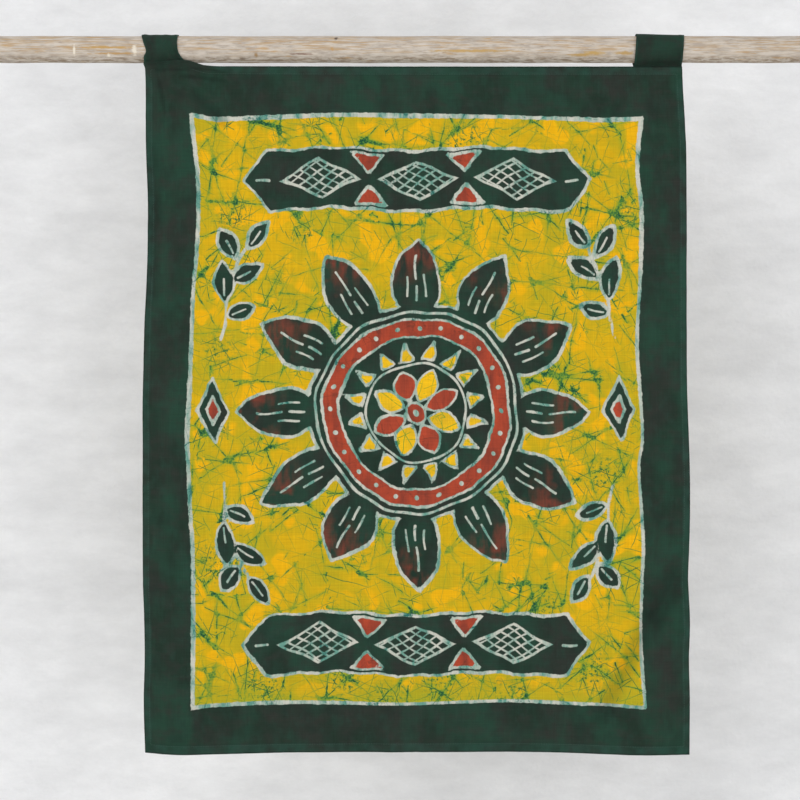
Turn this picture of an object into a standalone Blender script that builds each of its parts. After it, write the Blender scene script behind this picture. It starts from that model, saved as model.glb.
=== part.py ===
"""Batik wall hanging on a wooden pole.

A hemmed cotton panel hangs by two sewn loops from a round pole. The left loop is bunched up and
its corner of the panel has ridden up the front of the pole. Metres, +Z up, +Y away from the viewer.
The origin is on the pole's axis, over the middle of the panel.
"""

import math

import bmesh
import bpy
from mathutils import Vector

# Pole
POLE_LENGTH = 1.200
POLE_RADIUS = 0.0175
POLE_END_BEVEL = 0.0015
POLE_SIDES = 48

# Panel: flat size of the hemmed cloth, and its thickness as a solid
PANEL_WIDTH = 0.707
PANEL_HEIGHT = 0.893
CLOTH_THICKNESS = 0.0012
HEM_THICKNESS = 0.0018
SIDE_HEM = 0.010
TOP_HEM = 0.011
BOTTOM_HEM = 0.012
HEM_STEP = 0.001

# The hem's back and the loops' layers are this far apart where they are sewn
SEWN_GAP = 0.0003

# Front face of the panel at rest. Panel and the two layers of a loop hang as one stack under the pole.
PANEL_FRONT_Y = -0.0026

# Where the left and right edges lie, by height
SIDE_EDGES = (
    # height, left edge, right edge
    (-0.018, -0.3550, 0.3455),
    (-0.053, -0.3525, 0.3470),
    (-0.118, -0.3528, 0.3505),
    (-0.196, -0.3491, 0.3518),
    (-0.248, -0.3491, 0.3518),
    (-0.300, -0.3505, 0.3518),
    (-0.352, -0.3528, 0.3518),
    (-0.404, -0.3541, 0.3520),
    (-0.456, -0.3553, 0.3528),
    (-0.534, -0.3553, 0.3555),
    (-0.612, -0.3553, 0.3559),
    (-0.690, -0.3549, 0.3540),
    (-0.742, -0.3532, 0.3556),
    (-0.794, -0.3524, 0.3546),
    (-0.846, -0.3539, 0.3556),
    (-0.916, -0.3517, 0.3550),
)

# Where the top edge lies, by its place along the pole. It climbs beside the left loop.
TOP_EDGE = (
    # place, height
    (-0.3550, -0.0186),
    (-0.3330, -0.0182),
    (-0.3180, -0.0168),
    (-0.3036, -0.0160),
    (-0.2940, -0.0166),
    (-0.2840, -0.0196),
    (-0.2740, -0.0220),
    (-0.2420, -0.0220),
    (0.0, -0.0224),
    (0.3550, -0.0224),
)

# Where the bottom edge lies, by its place along the pole
BOTTOM_EDGE = (
    # place, height
    (-0.3520, -0.9140),
    (-0.3130, -0.9172),
    (-0.2550, -0.9162),
    (-0.1500, -0.9148),
    (0.0300, -0.9134),
    (0.0900, -0.9130),
    (0.1900, -0.9150),
    (0.2600, -0.9174),
    (0.3050, -0.9180),
    (0.3550, -0.9165),
)

# Columns and rows of the panel's faces, closer together by the left loop and at the hems
COLUMN_SPANS = (
    # distance from the left edge, cells up to it
    (SIDE_HEM, 1),
    (SIDE_HEM + HEM_STEP, 1),
    (0.110, 11),
    (0.350, 10),
    (PANEL_WIDTH - SIDE_HEM - HEM_STEP, 14),
    (PANEL_WIDTH - SIDE_HEM, 1),
    (PANEL_WIDTH, 1),
)
ROW_SPANS = (
    # distance from the top edge, cells up to it
    (TOP_HEM, 2),
    (TOP_HEM + HEM_STEP, 1),
    (0.120, 11),
    (0.667, 22),
    (PANEL_HEIGHT - BOTTOM_HEM - HEM_STEP, 9),
    (PANEL_HEIGHT - BOTTOM_HEM, 1),
    (PANEL_HEIGHT, 1),
)

# Soft folds of the panel, as ridges towards the viewer (+) and troughs (-). Each fades out over
# a share of its length at both ends.
FOLDS = (
    # from place, from height, to place, to height, half width, height of the ridge
    (-0.292, -0.055, -0.245, -0.100, 0.010, -0.0030),
    (-0.268, -0.046, -0.170, -0.120, 0.016, 0.0022),
    (-0.345, -0.120, -0.352, -0.330, 0.020, -0.0030),
    (0.345, -0.660, 0.235, -0.880, 0.016, -0.0036),
    (0.352, -0.740, 0.280, -0.905, 0.015, 0.0028),
    (0.290, -0.620, 0.200, -0.800, 0.018, 0.0022),
    (0.340, -0.040, 0.354, -0.140, 0.012, 0.0022),
    (-0.330, -0.760, -0.290, -0.900, 0.020, 0.0026),
)
FOLD_END_SHARE = 0.35

# Pressed creases, where the hanging was stored folded in half and across
CREASE_PLACE = -0.003
CREASE_HEIGHT = -0.689
CREASE_REACH = 0.022
CREASE_DEPTH = 0.0012
LEVEL_CREASE_SHARE = 0.7

# Slow waves of the whole panel, growing towards the free bottom edge
WAVE_LENGTH = 0.330
WAVE_LEAN = 0.9
WAVE_TOP = 0.0005
WAVE_BOTTOM = 0.0030

# The sewn top edge stays straight; folds and waves set in below it
STRAIGHT_DOWN_TO = -0.030
FOLDS_FULL_AFTER = 0.060

# The corner that has ridden up the front of the pole
CORNER_FORWARD = 0.0112
CORNER_FLAT_TO = -0.2900
CORNER_ENDS_AT = -0.2480
CORNER_FLAT_ABOVE = -0.022
CORNER_ENDS_BELOW = -0.105

# Loops
LOOP_THICKNESS = 0.0012
LOOP_CLEARANCE = 0.0003
LOOP_TAIL_BELOW_EDGE = 0.0100
LOOP_POINTS_TAIL = 3
LOOP_POINTS_BEND = 7
LOOP_POINTS_ROUND = 30
LOOP_BEND_REACH = 0.42

# Right loop: flat, turned a little. Left loop: bunched up into pleats.
RIGHT_LOOP_EDGES = (
    # height, left edge, right edge
    (-0.034, 0.2832, 0.3440),
    (-0.020, 0.2834, 0.3444),
    (0.000, 0.2856, 0.3464),
    (0.020, 0.2864, 0.3466),
)
LEFT_LOOP_EDGES = (
    # height, left edge, right edge
    (-0.030, -0.3520, -0.3030),
    (-0.017, -0.3545, -0.3040),
    (-0.011, -0.3535, -0.3084),
    (-0.0055, -0.3500, -0.3104),
    (0.006, -0.3540, -0.3112),
    (0.020, -0.3565, -0.3104),
)
LEFT_PLEATS = (
    # share of the loop's width, half width as a share, rise
    (0.10, 0.08, 0.0020),
    (0.40, 0.12, 0.0009),
    (0.66, 0.08, 0.0014),
    (0.93, 0.06, 0.0011),
)
LOOPS = (
    # name, edges, pleats, cells across, angle where each layer leaves the pole, height of each join
    ("loop_left", LEFT_LOOP_EDGES, LEFT_PLEATS, 14, (62, 28), (-0.0005, -0.0090)),
    ("loop_right", RIGHT_LOOP_EDGES, (), 6, (38, 38), (-0.0010, -0.0040)),
)


def smooth(share):
    """0 to 1 with level ends."""
    share = min(1.0, max(0.0, share))
    return share * share * (3 - 2 * share)


def read_table(table, key, column):
    """Value of a column where the first column equals key, on a smooth curve through the rows."""
    rows = sorted(table)
    key = min(rows[-1][0], max(rows[0][0], key))
    n = next(n for n in range(len(rows) - 1) if key <= rows[n + 1][0])
    low, high = rows[n], rows[n + 1]
    before, after = rows[max(n - 1, 0)], rows[min(n + 2, len(rows) - 1)]
    span = high[0] - low[0]
    leave = (high[column] - before[column]) / (high[0] - before[0]) * span
    arrive = (after[column] - low[column]) / (after[0] - low[0]) * span
    share = (key - low[0]) / span
    on_curve = low[column] + (high[column] - low[column]) * smooth(share)
    return on_curve + share * (1 - share) * ((1 - share) * leave - share * arrive)


def stations(spans):
    """Distances of the grid lines that the spans ask for."""
    lines = [0.0]
    for end, cells in spans:
        start = lines[-1]
        lines += [start + (end - start) * (n + 1) / cells for n in range(cells)]
    return lines


def along_fold(x, z, fold):
    """How much of a fold's height is reached at a point of the panel."""
    start, end = Vector(fold[0:2]), Vector(fold[2:4])
    half_width, rise = fold[4:6]
    run = end - start
    share = (Vector((x, z)) - start).dot(run) / run.length_squared
    off_line = (Vector((x, z)) - start - run * share).length
    taper = smooth(share / FOLD_END_SHARE + 0.5) * smooth((1 - share) / FOLD_END_SHARE + 0.5)
    return rise * taper * math.exp(-((off_line / half_width) ** 2))


def corner_forward(x, z):
    """How far the corner by the left loop stands towards the viewer."""
    across = smooth((CORNER_ENDS_AT - x) / (CORNER_ENDS_AT - CORNER_FLAT_TO))
    down = smooth((z - CORNER_ENDS_BELOW) / (CORNER_FLAT_ABOVE - CORNER_ENDS_BELOW))
    return CORNER_FORWARD * across * down


def panel_front(x, z):
    """Depth of the panel's front face."""
    drop = min(1.0, -z / PANEL_HEIGHT)
    wave_height = WAVE_TOP + (WAVE_BOTTOM - WAVE_TOP) * drop * drop
    wave = wave_height * math.sin(2 * math.pi * x / WAVE_LENGTH + WAVE_LEAN * drop)
    ridges = sum(along_fold(x, z, fold) for fold in FOLDS)
    pressed = math.exp(-abs(x - CREASE_PLACE) / CREASE_REACH)
    pressed += LEVEL_CREASE_SHARE * math.exp(-abs(z - CREASE_HEIGHT) / CREASE_REACH)
    settled = smooth((STRAIGHT_DOWN_TO - z) / FOLDS_FULL_AFTER)
    rise = corner_forward(x, z) + settled * (ridges + wave - CREASE_DEPTH * pressed)
    return PANEL_FRONT_Y - rise


def slab(name, across, down, place, material):
    """A thin solid: a grid of cells, one layer deep, with each point sent to its place.

    place takes the point's column, row and layer (0 is the first face, 1 the second).
    """
    mesh = bmesh.new()
    bmesh.ops.create_grid(mesh, x_segments=across, y_segments=down, size=0.5)
    first_face = mesh.faces[:]
    grown = bmesh.ops.extrude_face_region(mesh, geom=first_face)["geom"]
    second = [item for item in grown if isinstance(item, bmesh.types.BMVert)]
    bmesh.ops.translate(mesh, verts=second, vec=(0, 0, 1))
    bmesh.ops.recalc_face_normals(mesh, faces=mesh.faces[:])
    for vert in mesh.verts:
        column = round((vert.co.x + 0.5) * across)
        row = round((0.5 - vert.co.y) * down)
        vert.co = place(column, row, round(vert.co.z))
    return add_object(name, mesh, material)


def add_object(name, mesh, material):
    """Puts a bmesh into the scene as one named object, its faces pointing out."""
    if mesh.calc_volume(signed=True) < 0:
        bmesh.ops.reverse_faces(mesh, faces=mesh.faces[:])
    data = bpy.data.meshes.new(name)
    mesh.to_mesh(data)
    mesh.free()
    data.materials.append(material)
    data.shade_smooth()
    data.set_sharp_from_angle(angle=math.radians(40))
    obj = bpy.data.objects.new(name, data)
    bpy.context.scene.collection.objects.link(obj)
    return obj


def plain_material(name, colour, roughness):
    """A Principled material of one colour."""
    material = bpy.data.materials.new(name)
    material.use_nodes = True
    shader = material.node_tree.nodes["Principled BSDF"]
    shader.inputs["Base Color"].default_value = (*colour, 1)
    shader.inputs["Roughness"].default_value = roughness
    shader.inputs["Metallic"].default_value = 0
    return material


def make_pole(material):
    """Round pole along X, with eased ends."""
    mesh = bmesh.new()
    bmesh.ops.create_cone(
        mesh,
        cap_ends=True,
        segments=POLE_SIDES,
        radius1=POLE_RADIUS,
        radius2=POLE_RADIUS,
        depth=POLE_LENGTH,
    )
    rims = [edge for edge in mesh.edges if abs(edge.verts[0].co.z - edge.verts[1].co.z) < 1e-6]
    bmesh.ops.bevel(
        mesh,
        geom=rims,
        offset=POLE_END_BEVEL,
        segments=2,
        profile=0.5,
        affect="EDGES",
        material=-1,
    )
    for vert in mesh.verts:
        vert.co = Vector((vert.co.z, vert.co.x, vert.co.y))
    bmesh.ops.recalc_face_normals(mesh, faces=mesh.faces[:])
    return add_object("pole", mesh, material)


def panel_point(across, down):
    """Place and height of a point of the panel, from its distances on the flat cloth."""
    share_across, share_down = across / PANEL_WIDTH, down / PANEL_HEIGHT
    x = PANEL_WIDTH * (share_across - 0.5)
    for _ in range(3):
        top, bottom = read_table(TOP_EDGE, x, 1), read_table(BOTTOM_EDGE, x, 1)
        z = top + (bottom - top) * share_down
        left, right = read_table(SIDE_EDGES, z, 1), read_table(SIDE_EDGES, z, 2)
        x = left + (right - left) * share_across
    return x, z


def make_panel(material):
    """The hemmed cotton panel, thicker along its hems."""
    columns, rows = stations(COLUMN_SPANS), stations(ROW_SPANS)

    def place(column, row, layer):
        across, down = columns[column], rows[row]
        x, z = panel_point(across, down)
        in_hem = (
            min(across, PANEL_WIDTH - across) < SIDE_HEM + 1e-6
            or down < TOP_HEM + 1e-6
            or PANEL_HEIGHT - down < BOTTOM_HEM + 1e-6
        )
        thickness = HEM_THICKNESS if in_hem else CLOTH_THICKNESS
        return x, panel_front(x, z) + layer * thickness, z

    return slab("panel", len(columns) - 1, len(rows) - 1, place, material)


def cubic(points, share):
    """Point of a Bezier curve with four control points."""
    rest = 1 - share
    weights = (rest**3, 3 * rest**2 * share, 3 * rest * share**2, share**3)
    return sum((point * weight for point, weight in zip(points, weights)), Vector((0, 0)))


def loop_path(x, leave_angles, join_drops):
    """Inner face of a loop's strip at one place along the pole, as (depth, height) points.

    It climbs from the sewn end of the front layer, goes over the pole, and comes down behind.
    """
    top = read_table(TOP_EDGE, x, 1)
    end = top - LOOP_TAIL_BELOW_EDGE
    radius = POLE_RADIUS + LOOP_CLEARANCE
    halves = []
    for side, leave, drop in zip((-1, 1), leave_angles, join_drops):
        behind_hem = SEWN_GAP + LOOP_THICKNESS + (SEWN_GAP if side > 0 else 0)
        join = top + drop
        tail = []
        for n in range(LOOP_POINTS_TAIL):
            z = end + (join - end) * n / (LOOP_POINTS_TAIL - 1)
            tail.append(Vector((panel_front(x, z) + HEM_THICKNESS + behind_hem, z)))
        angle = math.radians(leave)
        off = Vector((side * math.sin(angle), -math.cos(angle))) * radius
        under = Vector((-side * math.cos(angle), -math.sin(angle)))
        reach = (off - tail[-1]).length * LOOP_BEND_REACH
        bend = (tail[-1], tail[-1] + Vector((0, reach)), off + under * reach, off)
        curve = [cubic(bend, (n + 1) / LOOP_POINTS_BEND) for n in range(LOOP_POINTS_BEND)]
        halves.append(tail + curve)
    front, back = halves
    first, last = (math.radians(180 - leave) for leave in leave_angles)
    over = []
    for n in range(1, LOOP_POINTS_ROUND):
        angle = -first + (first + last) * n / LOOP_POINTS_ROUND
        over.append(Vector((math.sin(angle), math.cos(angle))) * radius)
    return front + over + back[::-1]


def make_loop(name, edges, pleats, across, leave_angles, join_drops, material):
    """A strip that is sewn behind the top hem at both ends and goes round the pole."""
    middle = (edges[0][1] + edges[0][2]) / 2
    half = (edges[0][2] - edges[0][1]) / 2
    paths = [
        loop_path(middle + half * (2 * n / across - 1), leave_angles, join_drops)
        for n in range(across + 1)
    ]
    last = len(paths[0]) - 1

    def place(column, row, layer):
        path, share = paths[column], column / across
        here = path[row]
        ahead = path[min(row + 1, last)] - path[max(row - 1, 0)]
        outward = Vector((-ahead.y, ahead.x)).normalized()
        free = smooth(row / LOOP_POINTS_TAIL - 1) * smooth((last - row) / LOOP_POINTS_TAIL - 1)
        rise = sum(r * math.exp(-(((share - c) / w) ** 2)) for c, w, r in pleats)
        here = here + outward * (free * rise + layer * LOOP_THICKNESS)
        left, right = read_table(edges, here.y, 1), read_table(edges, here.y, 2)
        return left + (right - left) * share, here.x, here.y

    return slab(name, across, last, place, material)


def main():
    """Builds the pole, the panel and its two loops."""
    for obj in list(bpy.data.objects):
        bpy.data.objects.remove(obj)
    wood = plain_material("limed_wood", (0.52, 0.43, 0.33), 0.7)
    cotton = plain_material("dyed_cotton", (0.018, 0.045, 0.032), 0.9)
    make_pole(wood)
    make_panel(cotton)
    for loop in LOOPS:
        make_loop(*loop, cotton)


main()
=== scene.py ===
"""Looks of a batik wall hanging: the wax-resist dyed cloth, its two loops and the limed pole.

Metres, +Z up, +Y away from the viewer. The origin is on the pole's axis, over the middle of the
panel. Patterns are drawn in millimetres on the cloth. The picture is 800 by 800 pixels.
"""

import functools
import math

import bmesh
import bpy
import numpy as np
from mathutils import Matrix, Vector


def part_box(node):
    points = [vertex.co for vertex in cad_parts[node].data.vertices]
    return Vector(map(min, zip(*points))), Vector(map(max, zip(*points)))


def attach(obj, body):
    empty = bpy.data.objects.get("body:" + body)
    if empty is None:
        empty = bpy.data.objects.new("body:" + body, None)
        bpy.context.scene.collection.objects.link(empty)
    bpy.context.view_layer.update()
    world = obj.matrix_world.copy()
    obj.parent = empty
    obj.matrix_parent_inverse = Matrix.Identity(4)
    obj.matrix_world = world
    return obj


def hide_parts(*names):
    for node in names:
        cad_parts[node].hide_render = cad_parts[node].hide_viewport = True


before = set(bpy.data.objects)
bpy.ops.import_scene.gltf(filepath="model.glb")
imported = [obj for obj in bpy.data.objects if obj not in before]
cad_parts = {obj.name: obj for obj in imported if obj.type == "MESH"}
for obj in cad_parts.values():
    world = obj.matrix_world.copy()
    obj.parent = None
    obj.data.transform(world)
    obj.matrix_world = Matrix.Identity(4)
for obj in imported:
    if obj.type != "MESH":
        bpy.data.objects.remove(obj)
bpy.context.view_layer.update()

MM = 0.001

# The picture: a level camera that looks at its middle
PICTURE_PIXELS = 800
METRES_A_PIXEL = 0.0013
PANEL_MIDDLE_PIXEL = 416
POLE_AXIS_PIXEL = 49.2
LENS = 85
SENSOR = 36

# Pole
POLE_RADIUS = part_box("pole")[1].z
POLE_LENGTH = 2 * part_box("pole")[1].x
POLE_BEVEL = 0.0015
POLE_SIDES = 96
POLE_RINGS = 240
POLE_DENT = 0.0006

# Panel, as in the solid: size, hems and the depth of its front face
PANEL_WIDTH = 0.707
PANEL_HEIGHT = 0.893
PANEL_FRONT_Y = -0.0026
SIDE_HEM = 0.010
TOP_HEM = 0.011
BOTTOM_HEM = 0.012

# Cloth: its thickness, and the radius in which each hem is turned back
CLOTH = 0.0003
SIDE_TURN = 0.00025
END_TURN = 0.0007
CELL = 0.0044
FINE_CELL = 0.0022
FINE_ACROSS = 0.105
FINE_DOWN = 0.062
CELLS_IN_HEM = 2
CELLS_IN_TURN = 4

# Where the left and right edges lie, by height
SIDE_EDGES = (
    # height, left edge, right edge
    (-0.018, -0.3530, 0.3455),
    (-0.022, -0.3526, 0.3457),
    (-0.026, -0.3508, 0.3460),
    (-0.053, -0.3503, 0.3470),
    (-0.092, -0.3512, 0.3490),
    (-0.131, -0.3512, 0.3510),
    (-0.196, -0.3491, 0.3518),
    (-0.248, -0.3491, 0.3518),
    (-0.300, -0.3505, 0.3518),
    (-0.352, -0.3528, 0.3518),
    (-0.404, -0.3541, 0.3520),
    (-0.456, -0.3553, 0.3528),
    (-0.534, -0.3553, 0.3555),
    (-0.612, -0.3553, 0.3559),
    (-0.690, -0.3549, 0.3540),
    (-0.742, -0.3532, 0.3556),
    (-0.794, -0.3524, 0.3546),
    (-0.846, -0.3539, 0.3556),
    (-0.916, -0.3517, 0.3550),
)
TOP_EDGE = (
    # place, height
    (-0.3550, -0.0186),
    (-0.3330, -0.0182),
    (-0.3180, -0.0168),
    (-0.3036, -0.0160),
    (-0.2940, -0.0166),
    (-0.2840, -0.0196),
    (-0.2740, -0.0220),
    (-0.2420, -0.0220),
    (0.0, -0.0224),
    (0.3550, -0.0224),
)
BOTTOM_EDGE = (
    # place, height
    (-0.3520, -0.9140),
    (-0.3130, -0.9172),
    (-0.2550, -0.9162),
    (-0.1500, -0.9148),
    (0.0300, -0.9134),
    (0.0900, -0.9130),
    (0.1900, -0.9150),
    (0.2600, -0.9174),
    (0.3050, -0.9180),
    (0.3550, -0.9165),
)

# Soft folds, as ridges towards the viewer (+) and troughs (-). The troughs are also painted darker as shade.
FOLDS = (
    # from place, from height, to place, to height, half width, height of the ridge
    (-0.292, -0.055, -0.245, -0.100, 0.010, -0.0030),
    (-0.268, -0.046, -0.170, -0.120, 0.016, 0.0022),
    (-0.345, -0.120, -0.352, -0.330, 0.020, -0.0030),
    (0.345, -0.660, 0.235, -0.880, 0.016, -0.0036),
    (0.352, -0.676, 0.303, -0.768, 0.012, -0.0026),
    (0.352, -0.740, 0.280, -0.905, 0.015, 0.0028),
    (0.290, -0.620, 0.200, -0.800, 0.018, 0.0022),
    (0.340, -0.040, 0.354, -0.140, 0.012, 0.0022),
    (-0.330, -0.760, -0.290, -0.900, 0.020, 0.0026),
)
FOLD_END_SHARE = 0.35

# Small wrinkles where the corner by the left loop is dragged up. Their troughs are also painted darker as shade.
CORNER_WRINKLES = (
    # from place, from height, to place, to height, half width, height of the ridge
    (-0.3530, -0.0205, -0.2920, -0.0200, 0.0020, -0.0016),
    (-0.3440, -0.0236, -0.3080, -0.0250, 0.0018, 0.0012),
    (-0.3420, -0.0290, -0.2900, -0.0270, 0.0024, -0.0018),
    (-0.3220, -0.0330, -0.2820, -0.0330, 0.0024, 0.0013),
    (-0.3060, -0.0370, -0.2460, -0.0410, 0.0030, -0.0014),
    (-0.2960, -0.0265, -0.2360, -0.0285, 0.0022, -0.0013),
    (-0.2800, -0.0330, -0.2100, -0.0330, 0.0022, 0.0009),
    (-0.3180, -0.0440, -0.2860, -0.0720, 0.0050, 0.0010),
    (-0.3330, -0.0400, -0.3260, -0.0850, 0.0040, -0.0008),
)
# Place, height, reach across and reach down of the bunched cloth there, which is painted darker as shade
BUNCHED = (-0.318, -0.021, 0.052, 0.013)
# Pressed creases. The first two of each direction are where the hanging was stored folded.
UPRIGHT_CREASES = (
    # place, reach, depth
    (-0.003, 0.022, 0.0012),
    (-0.001, 0.005, 0.0006),
    (0.126, 0.008, 0.0003),
    (0.200, 0.010, 0.0003),
    (-0.195, 0.010, 0.0003),
)
LEVEL_CREASES = (
    # height, reach, depth
    (-0.689, 0.022, 0.00084),
    (-0.689, 0.005, 0.0005),
    (-0.303, 0.008, 0.0003),
    (-0.409, 0.009, 0.0003),
    (-0.552, 0.008, 0.0003),
)

# Slow waves of the whole panel, growing towards the free bottom edge
WAVE_LENGTH = 0.330
WAVE_LEAN = 0.9
WAVE_TOP = 0.0005
WAVE_BOTTOM = 0.0030
STRAIGHT_DOWN_TO = -0.030
FOLDS_FULL_AFTER = 0.060

# Puckers along the stitched hems, and a light crumple all over
PUCKER_DEPTH = 0.00035
PUCKER_LENGTH = 0.019
PUCKER_REACH = 0.013
CRUMPLES = (
    # length, turned by, depth
    (0.118, 20, 0.00045),
    (0.083, 105, 0.00035),
    (0.061, 63, 0.00028),
    (0.047, 148, 0.00020),
)
STITCH_PITCH = 0.0032
STITCH_LENGTH = 0.0024
STITCH_THICKNESS = 0.00045
SIDE_STITCHES = 0.0072
TOP_STITCHES = 0.0100
BOTTOM_STITCHES = 0.0108

# The corner that has ridden up the front of the pole
CORNER_FORWARD = 0.0112
CORNER_FLAT_TO = -0.2900
CORNER_ENDS_AT = -0.2480
CORNER_FLAT_ABOVE = -0.022
CORNER_ENDS_BELOW = -0.105

# Loops: two plies of cloth, sewn flat
LOOP_THICKNESS = 0.0009
LOOP_CLEARANCE = 0.0003
LOOP_TAIL = 0.0100
LOOP_FLAT_WIDTH = 0.062
LOOP_SEAM = 0.0026
LOOP_BEND_REACH = 0.42
RIGHT_LOOP_EDGES = (
    # height, left edge, right edge
    (-0.034, 0.2832, 0.3458),
    (-0.0215, 0.2832, 0.3458),
    (-0.010, 0.2832, 0.3452),
    (0.000, 0.2836, 0.3456),
    (0.012, 0.2846, 0.3468),
    (0.020, 0.2860, 0.3484),
)
LEFT_LOOP_EDGES = (
    # height, left edge, right edge
    (-0.030, -0.3505, -0.2990),
    (-0.017, -0.3524, -0.3000),
    (-0.0115, -0.3520, -0.3042),
    (-0.0055, -0.3488, -0.3076),
    (0.006, -0.3524, -0.3090),
    (0.020, -0.3572, -0.3086),
)
LEFT_PLEATS = (
    # share of the loop's width, half width as a share, rise
    (0.10, 0.08, 0.0020),
    (0.40, 0.12, 0.0009),
    (0.66, 0.08, 0.0014),
    (0.93, 0.06, 0.0011),
)
RIGHT_PLEATS = (
    # share of the loop's width, half width as a share, rise
    (0.00, 0.55, 0.0014),
    (0.93, 0.03, 0.0003),
)

# The waxed line round the yellow field
FIELD_SIDES = (
    # height, left line, right line
    (-0.0894, -0.2920, 0.2932),
    (-0.1180, -0.2888, 0.2899),
    (-0.1596, -0.2840, 0.2877),
    (-0.2025, -0.2828, 0.2929),
    (-0.2740, -0.2856, 0.2925),
    (-0.3065, -0.2891, 0.2909),
    (-0.3845, -0.2921, 0.2873),
    (-0.4495, -0.2946, 0.2916),
    (-0.5080, -0.2974, 0.2942),
    (-0.5405, -0.2958, 0.2899),
    (-0.5990, -0.2935, 0.2930),
    (-0.6510, -0.2902, 0.2955),
    (-0.6900, -0.2896, 0.2938),
    (-0.7810, -0.2896, 0.2930),
    (-0.8564, -0.2899, 0.2977),
)
FIELD_ENDS = (
    # place, top line, bottom line
    (-0.2938, -0.0855, -0.8564),
    (-0.2600, -0.0907, -0.8525),
    (-0.1820, -0.0885, -0.8496),
    (-0.1118, -0.0852, -0.8496),
    (-0.0208, -0.0863, -0.8512),
    (0.1092, -0.0879, -0.8470),
    (0.2028, -0.0906, -0.8507),
    (0.2405, -0.0919, -0.8525),
    (0.2951, -0.0901, -0.8558),
)
FIELD_CENTRE = Vector((0.0018, -0.4710))


def smooth(share):
    """0 to 1 with level ends."""
    share = np.clip(share, 0.0, 1.0)
    return share * share * (3 - 2 * share)


def read_table(table, key, column):
    """Value of a column where the first column equals key, on a smooth curve through the rows."""
    rows = np.array(sorted(table))
    key = np.clip(key, rows[0, 0], rows[-1, 0])
    last = len(rows) - 1
    n = np.clip(np.searchsorted(rows[:, 0], key) - 1, 0, last - 1)
    low, high = rows[n], rows[n + 1]
    before, after = rows[np.maximum(n - 1, 0)], rows[np.minimum(n + 2, last)]
    span = high[..., 0] - low[..., 0]
    leave = (high[..., column] - before[..., column]) / (high[..., 0] - before[..., 0]) * span
    arrive = (after[..., column] - low[..., column]) / (after[..., 0] - low[..., 0]) * span
    share = (key - low[..., 0]) / span
    on_curve = low[..., column] + (high[..., column] - low[..., column]) * smooth(share)
    return on_curve + share * (1 - share) * ((1 - share) * leave - share * arrive)


def panel_place(across, down):
    """Place and height on the hanging panel, from the distances on its flat front."""
    share_across, share_down = across / PANEL_WIDTH, down / PANEL_HEIGHT
    x = PANEL_WIDTH * (share_across - 0.5)
    for _ in range(3):
        top, bottom = read_table(TOP_EDGE, x, 1), read_table(BOTTOM_EDGE, x, 1)
        z = top + (bottom - top) * share_down
        left, right = read_table(SIDE_EDGES, z, 1), read_table(SIDE_EDGES, z, 2)
        x = left + (right - left) * share_across
    return x, z


def along_fold(x, z, fold):
    """How much of a fold's height is reached at a point of the panel."""
    start_x, start_z, end_x, end_z, half_width, rise = fold
    run = Vector((end_x - start_x, end_z - start_z))
    share = ((x - start_x) * run.x + (z - start_z) * run.y) / run.length_squared
    off_line = np.hypot(x - start_x - run.x * share, z - start_z - run.y * share)
    taper = smooth(share / FOLD_END_SHARE + 0.5) * smooth((1 - share) / FOLD_END_SHARE + 0.5)
    return rise * taper * np.exp(-((off_line / half_width) ** 2))


def corner_forward(x, z):
    """How far the corner by the left loop stands towards the viewer."""
    across = smooth((CORNER_ENDS_AT - x) / (CORNER_ENDS_AT - CORNER_FLAT_TO))
    down = smooth((z - CORNER_ENDS_BELOW) / (CORNER_FLAT_ABOVE - CORNER_ENDS_BELOW))
    return CORNER_FORWARD * across * down


def panel_front(x, z):
    """Depth of the panel's front face."""
    drop = np.minimum(1.0, -z / PANEL_HEIGHT)
    wave_height = WAVE_TOP + (WAVE_BOTTOM - WAVE_TOP) * drop * drop
    rise = wave_height * np.sin(2 * math.pi * x / WAVE_LENGTH + WAVE_LEAN * drop)
    for fold in FOLDS:
        rise = rise + along_fold(x, z, fold)
    for place, reach, depth in UPRIGHT_CREASES:
        rise = rise - depth * np.exp(-np.abs(x - place) / reach)
    for height, reach, depth in LEVEL_CREASES:
        rise = rise - depth * np.exp(-np.abs(z - height) / reach)
    for length, angle, depth in CRUMPLES:
        turn = math.radians(angle)
        place = (x * math.cos(turn) + z * math.sin(turn)) / length
        beside = (z * math.cos(turn) - x * math.sin(turn)) / length
        rise = rise + depth * np.sin(2 * math.pi * place + 2.1 * np.sin(2.4 * beside + angle))
    settled = smooth((STRAIGHT_DOWN_TO - z) / FOLDS_FULL_AFTER)
    wrinkles = sum(along_fold(x, z, fold) for fold in CORNER_WRINKLES)
    return PANEL_FRONT_Y - corner_forward(x, z) - settled * rise - wrinkles


def hem_pucker(across, down):
    """Small waves that the stitching draws into the edges of the panel."""
    rise = 0.0
    for off_edge, along in (
        (across, down),
        (PANEL_WIDTH - across, down + 0.31),
        (down, across + 0.17),
        (PANEL_HEIGHT - down, across + 0.53),
    ):
        turns = along / PUCKER_LENGTH
        wave = np.sin(2 * math.pi * turns + 2.2 * np.sin(turns * 1.37)) * (0.6 + 0.4 * np.sin(turns * 0.71))
        rise = rise + PUCKER_DEPTH * wave * np.exp(-np.abs(off_edge) / PUCKER_REACH)
    return rise


def turn_edge(flat, front, radius, inset=0.0):
    """Place along the panel and depth behind its front, on cloth turned back at both ends.

    flat runs from 0 to front on the face and beyond it through the turns into the hems. inset is
    how far behind the front the cloth lies already.
    """
    past = np.maximum(-flat, flat - front)
    angle = np.clip(past / radius, 0, math.pi)
    returned = np.maximum(past - math.pi * radius, 0)
    reach = (radius - inset) * np.sin(angle) - returned
    place = np.where(flat < front / 2, np.maximum(flat, 0) - reach, np.minimum(flat, front) + reach)
    return place + radius, radius - (radius - inset) * np.cos(angle)


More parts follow.
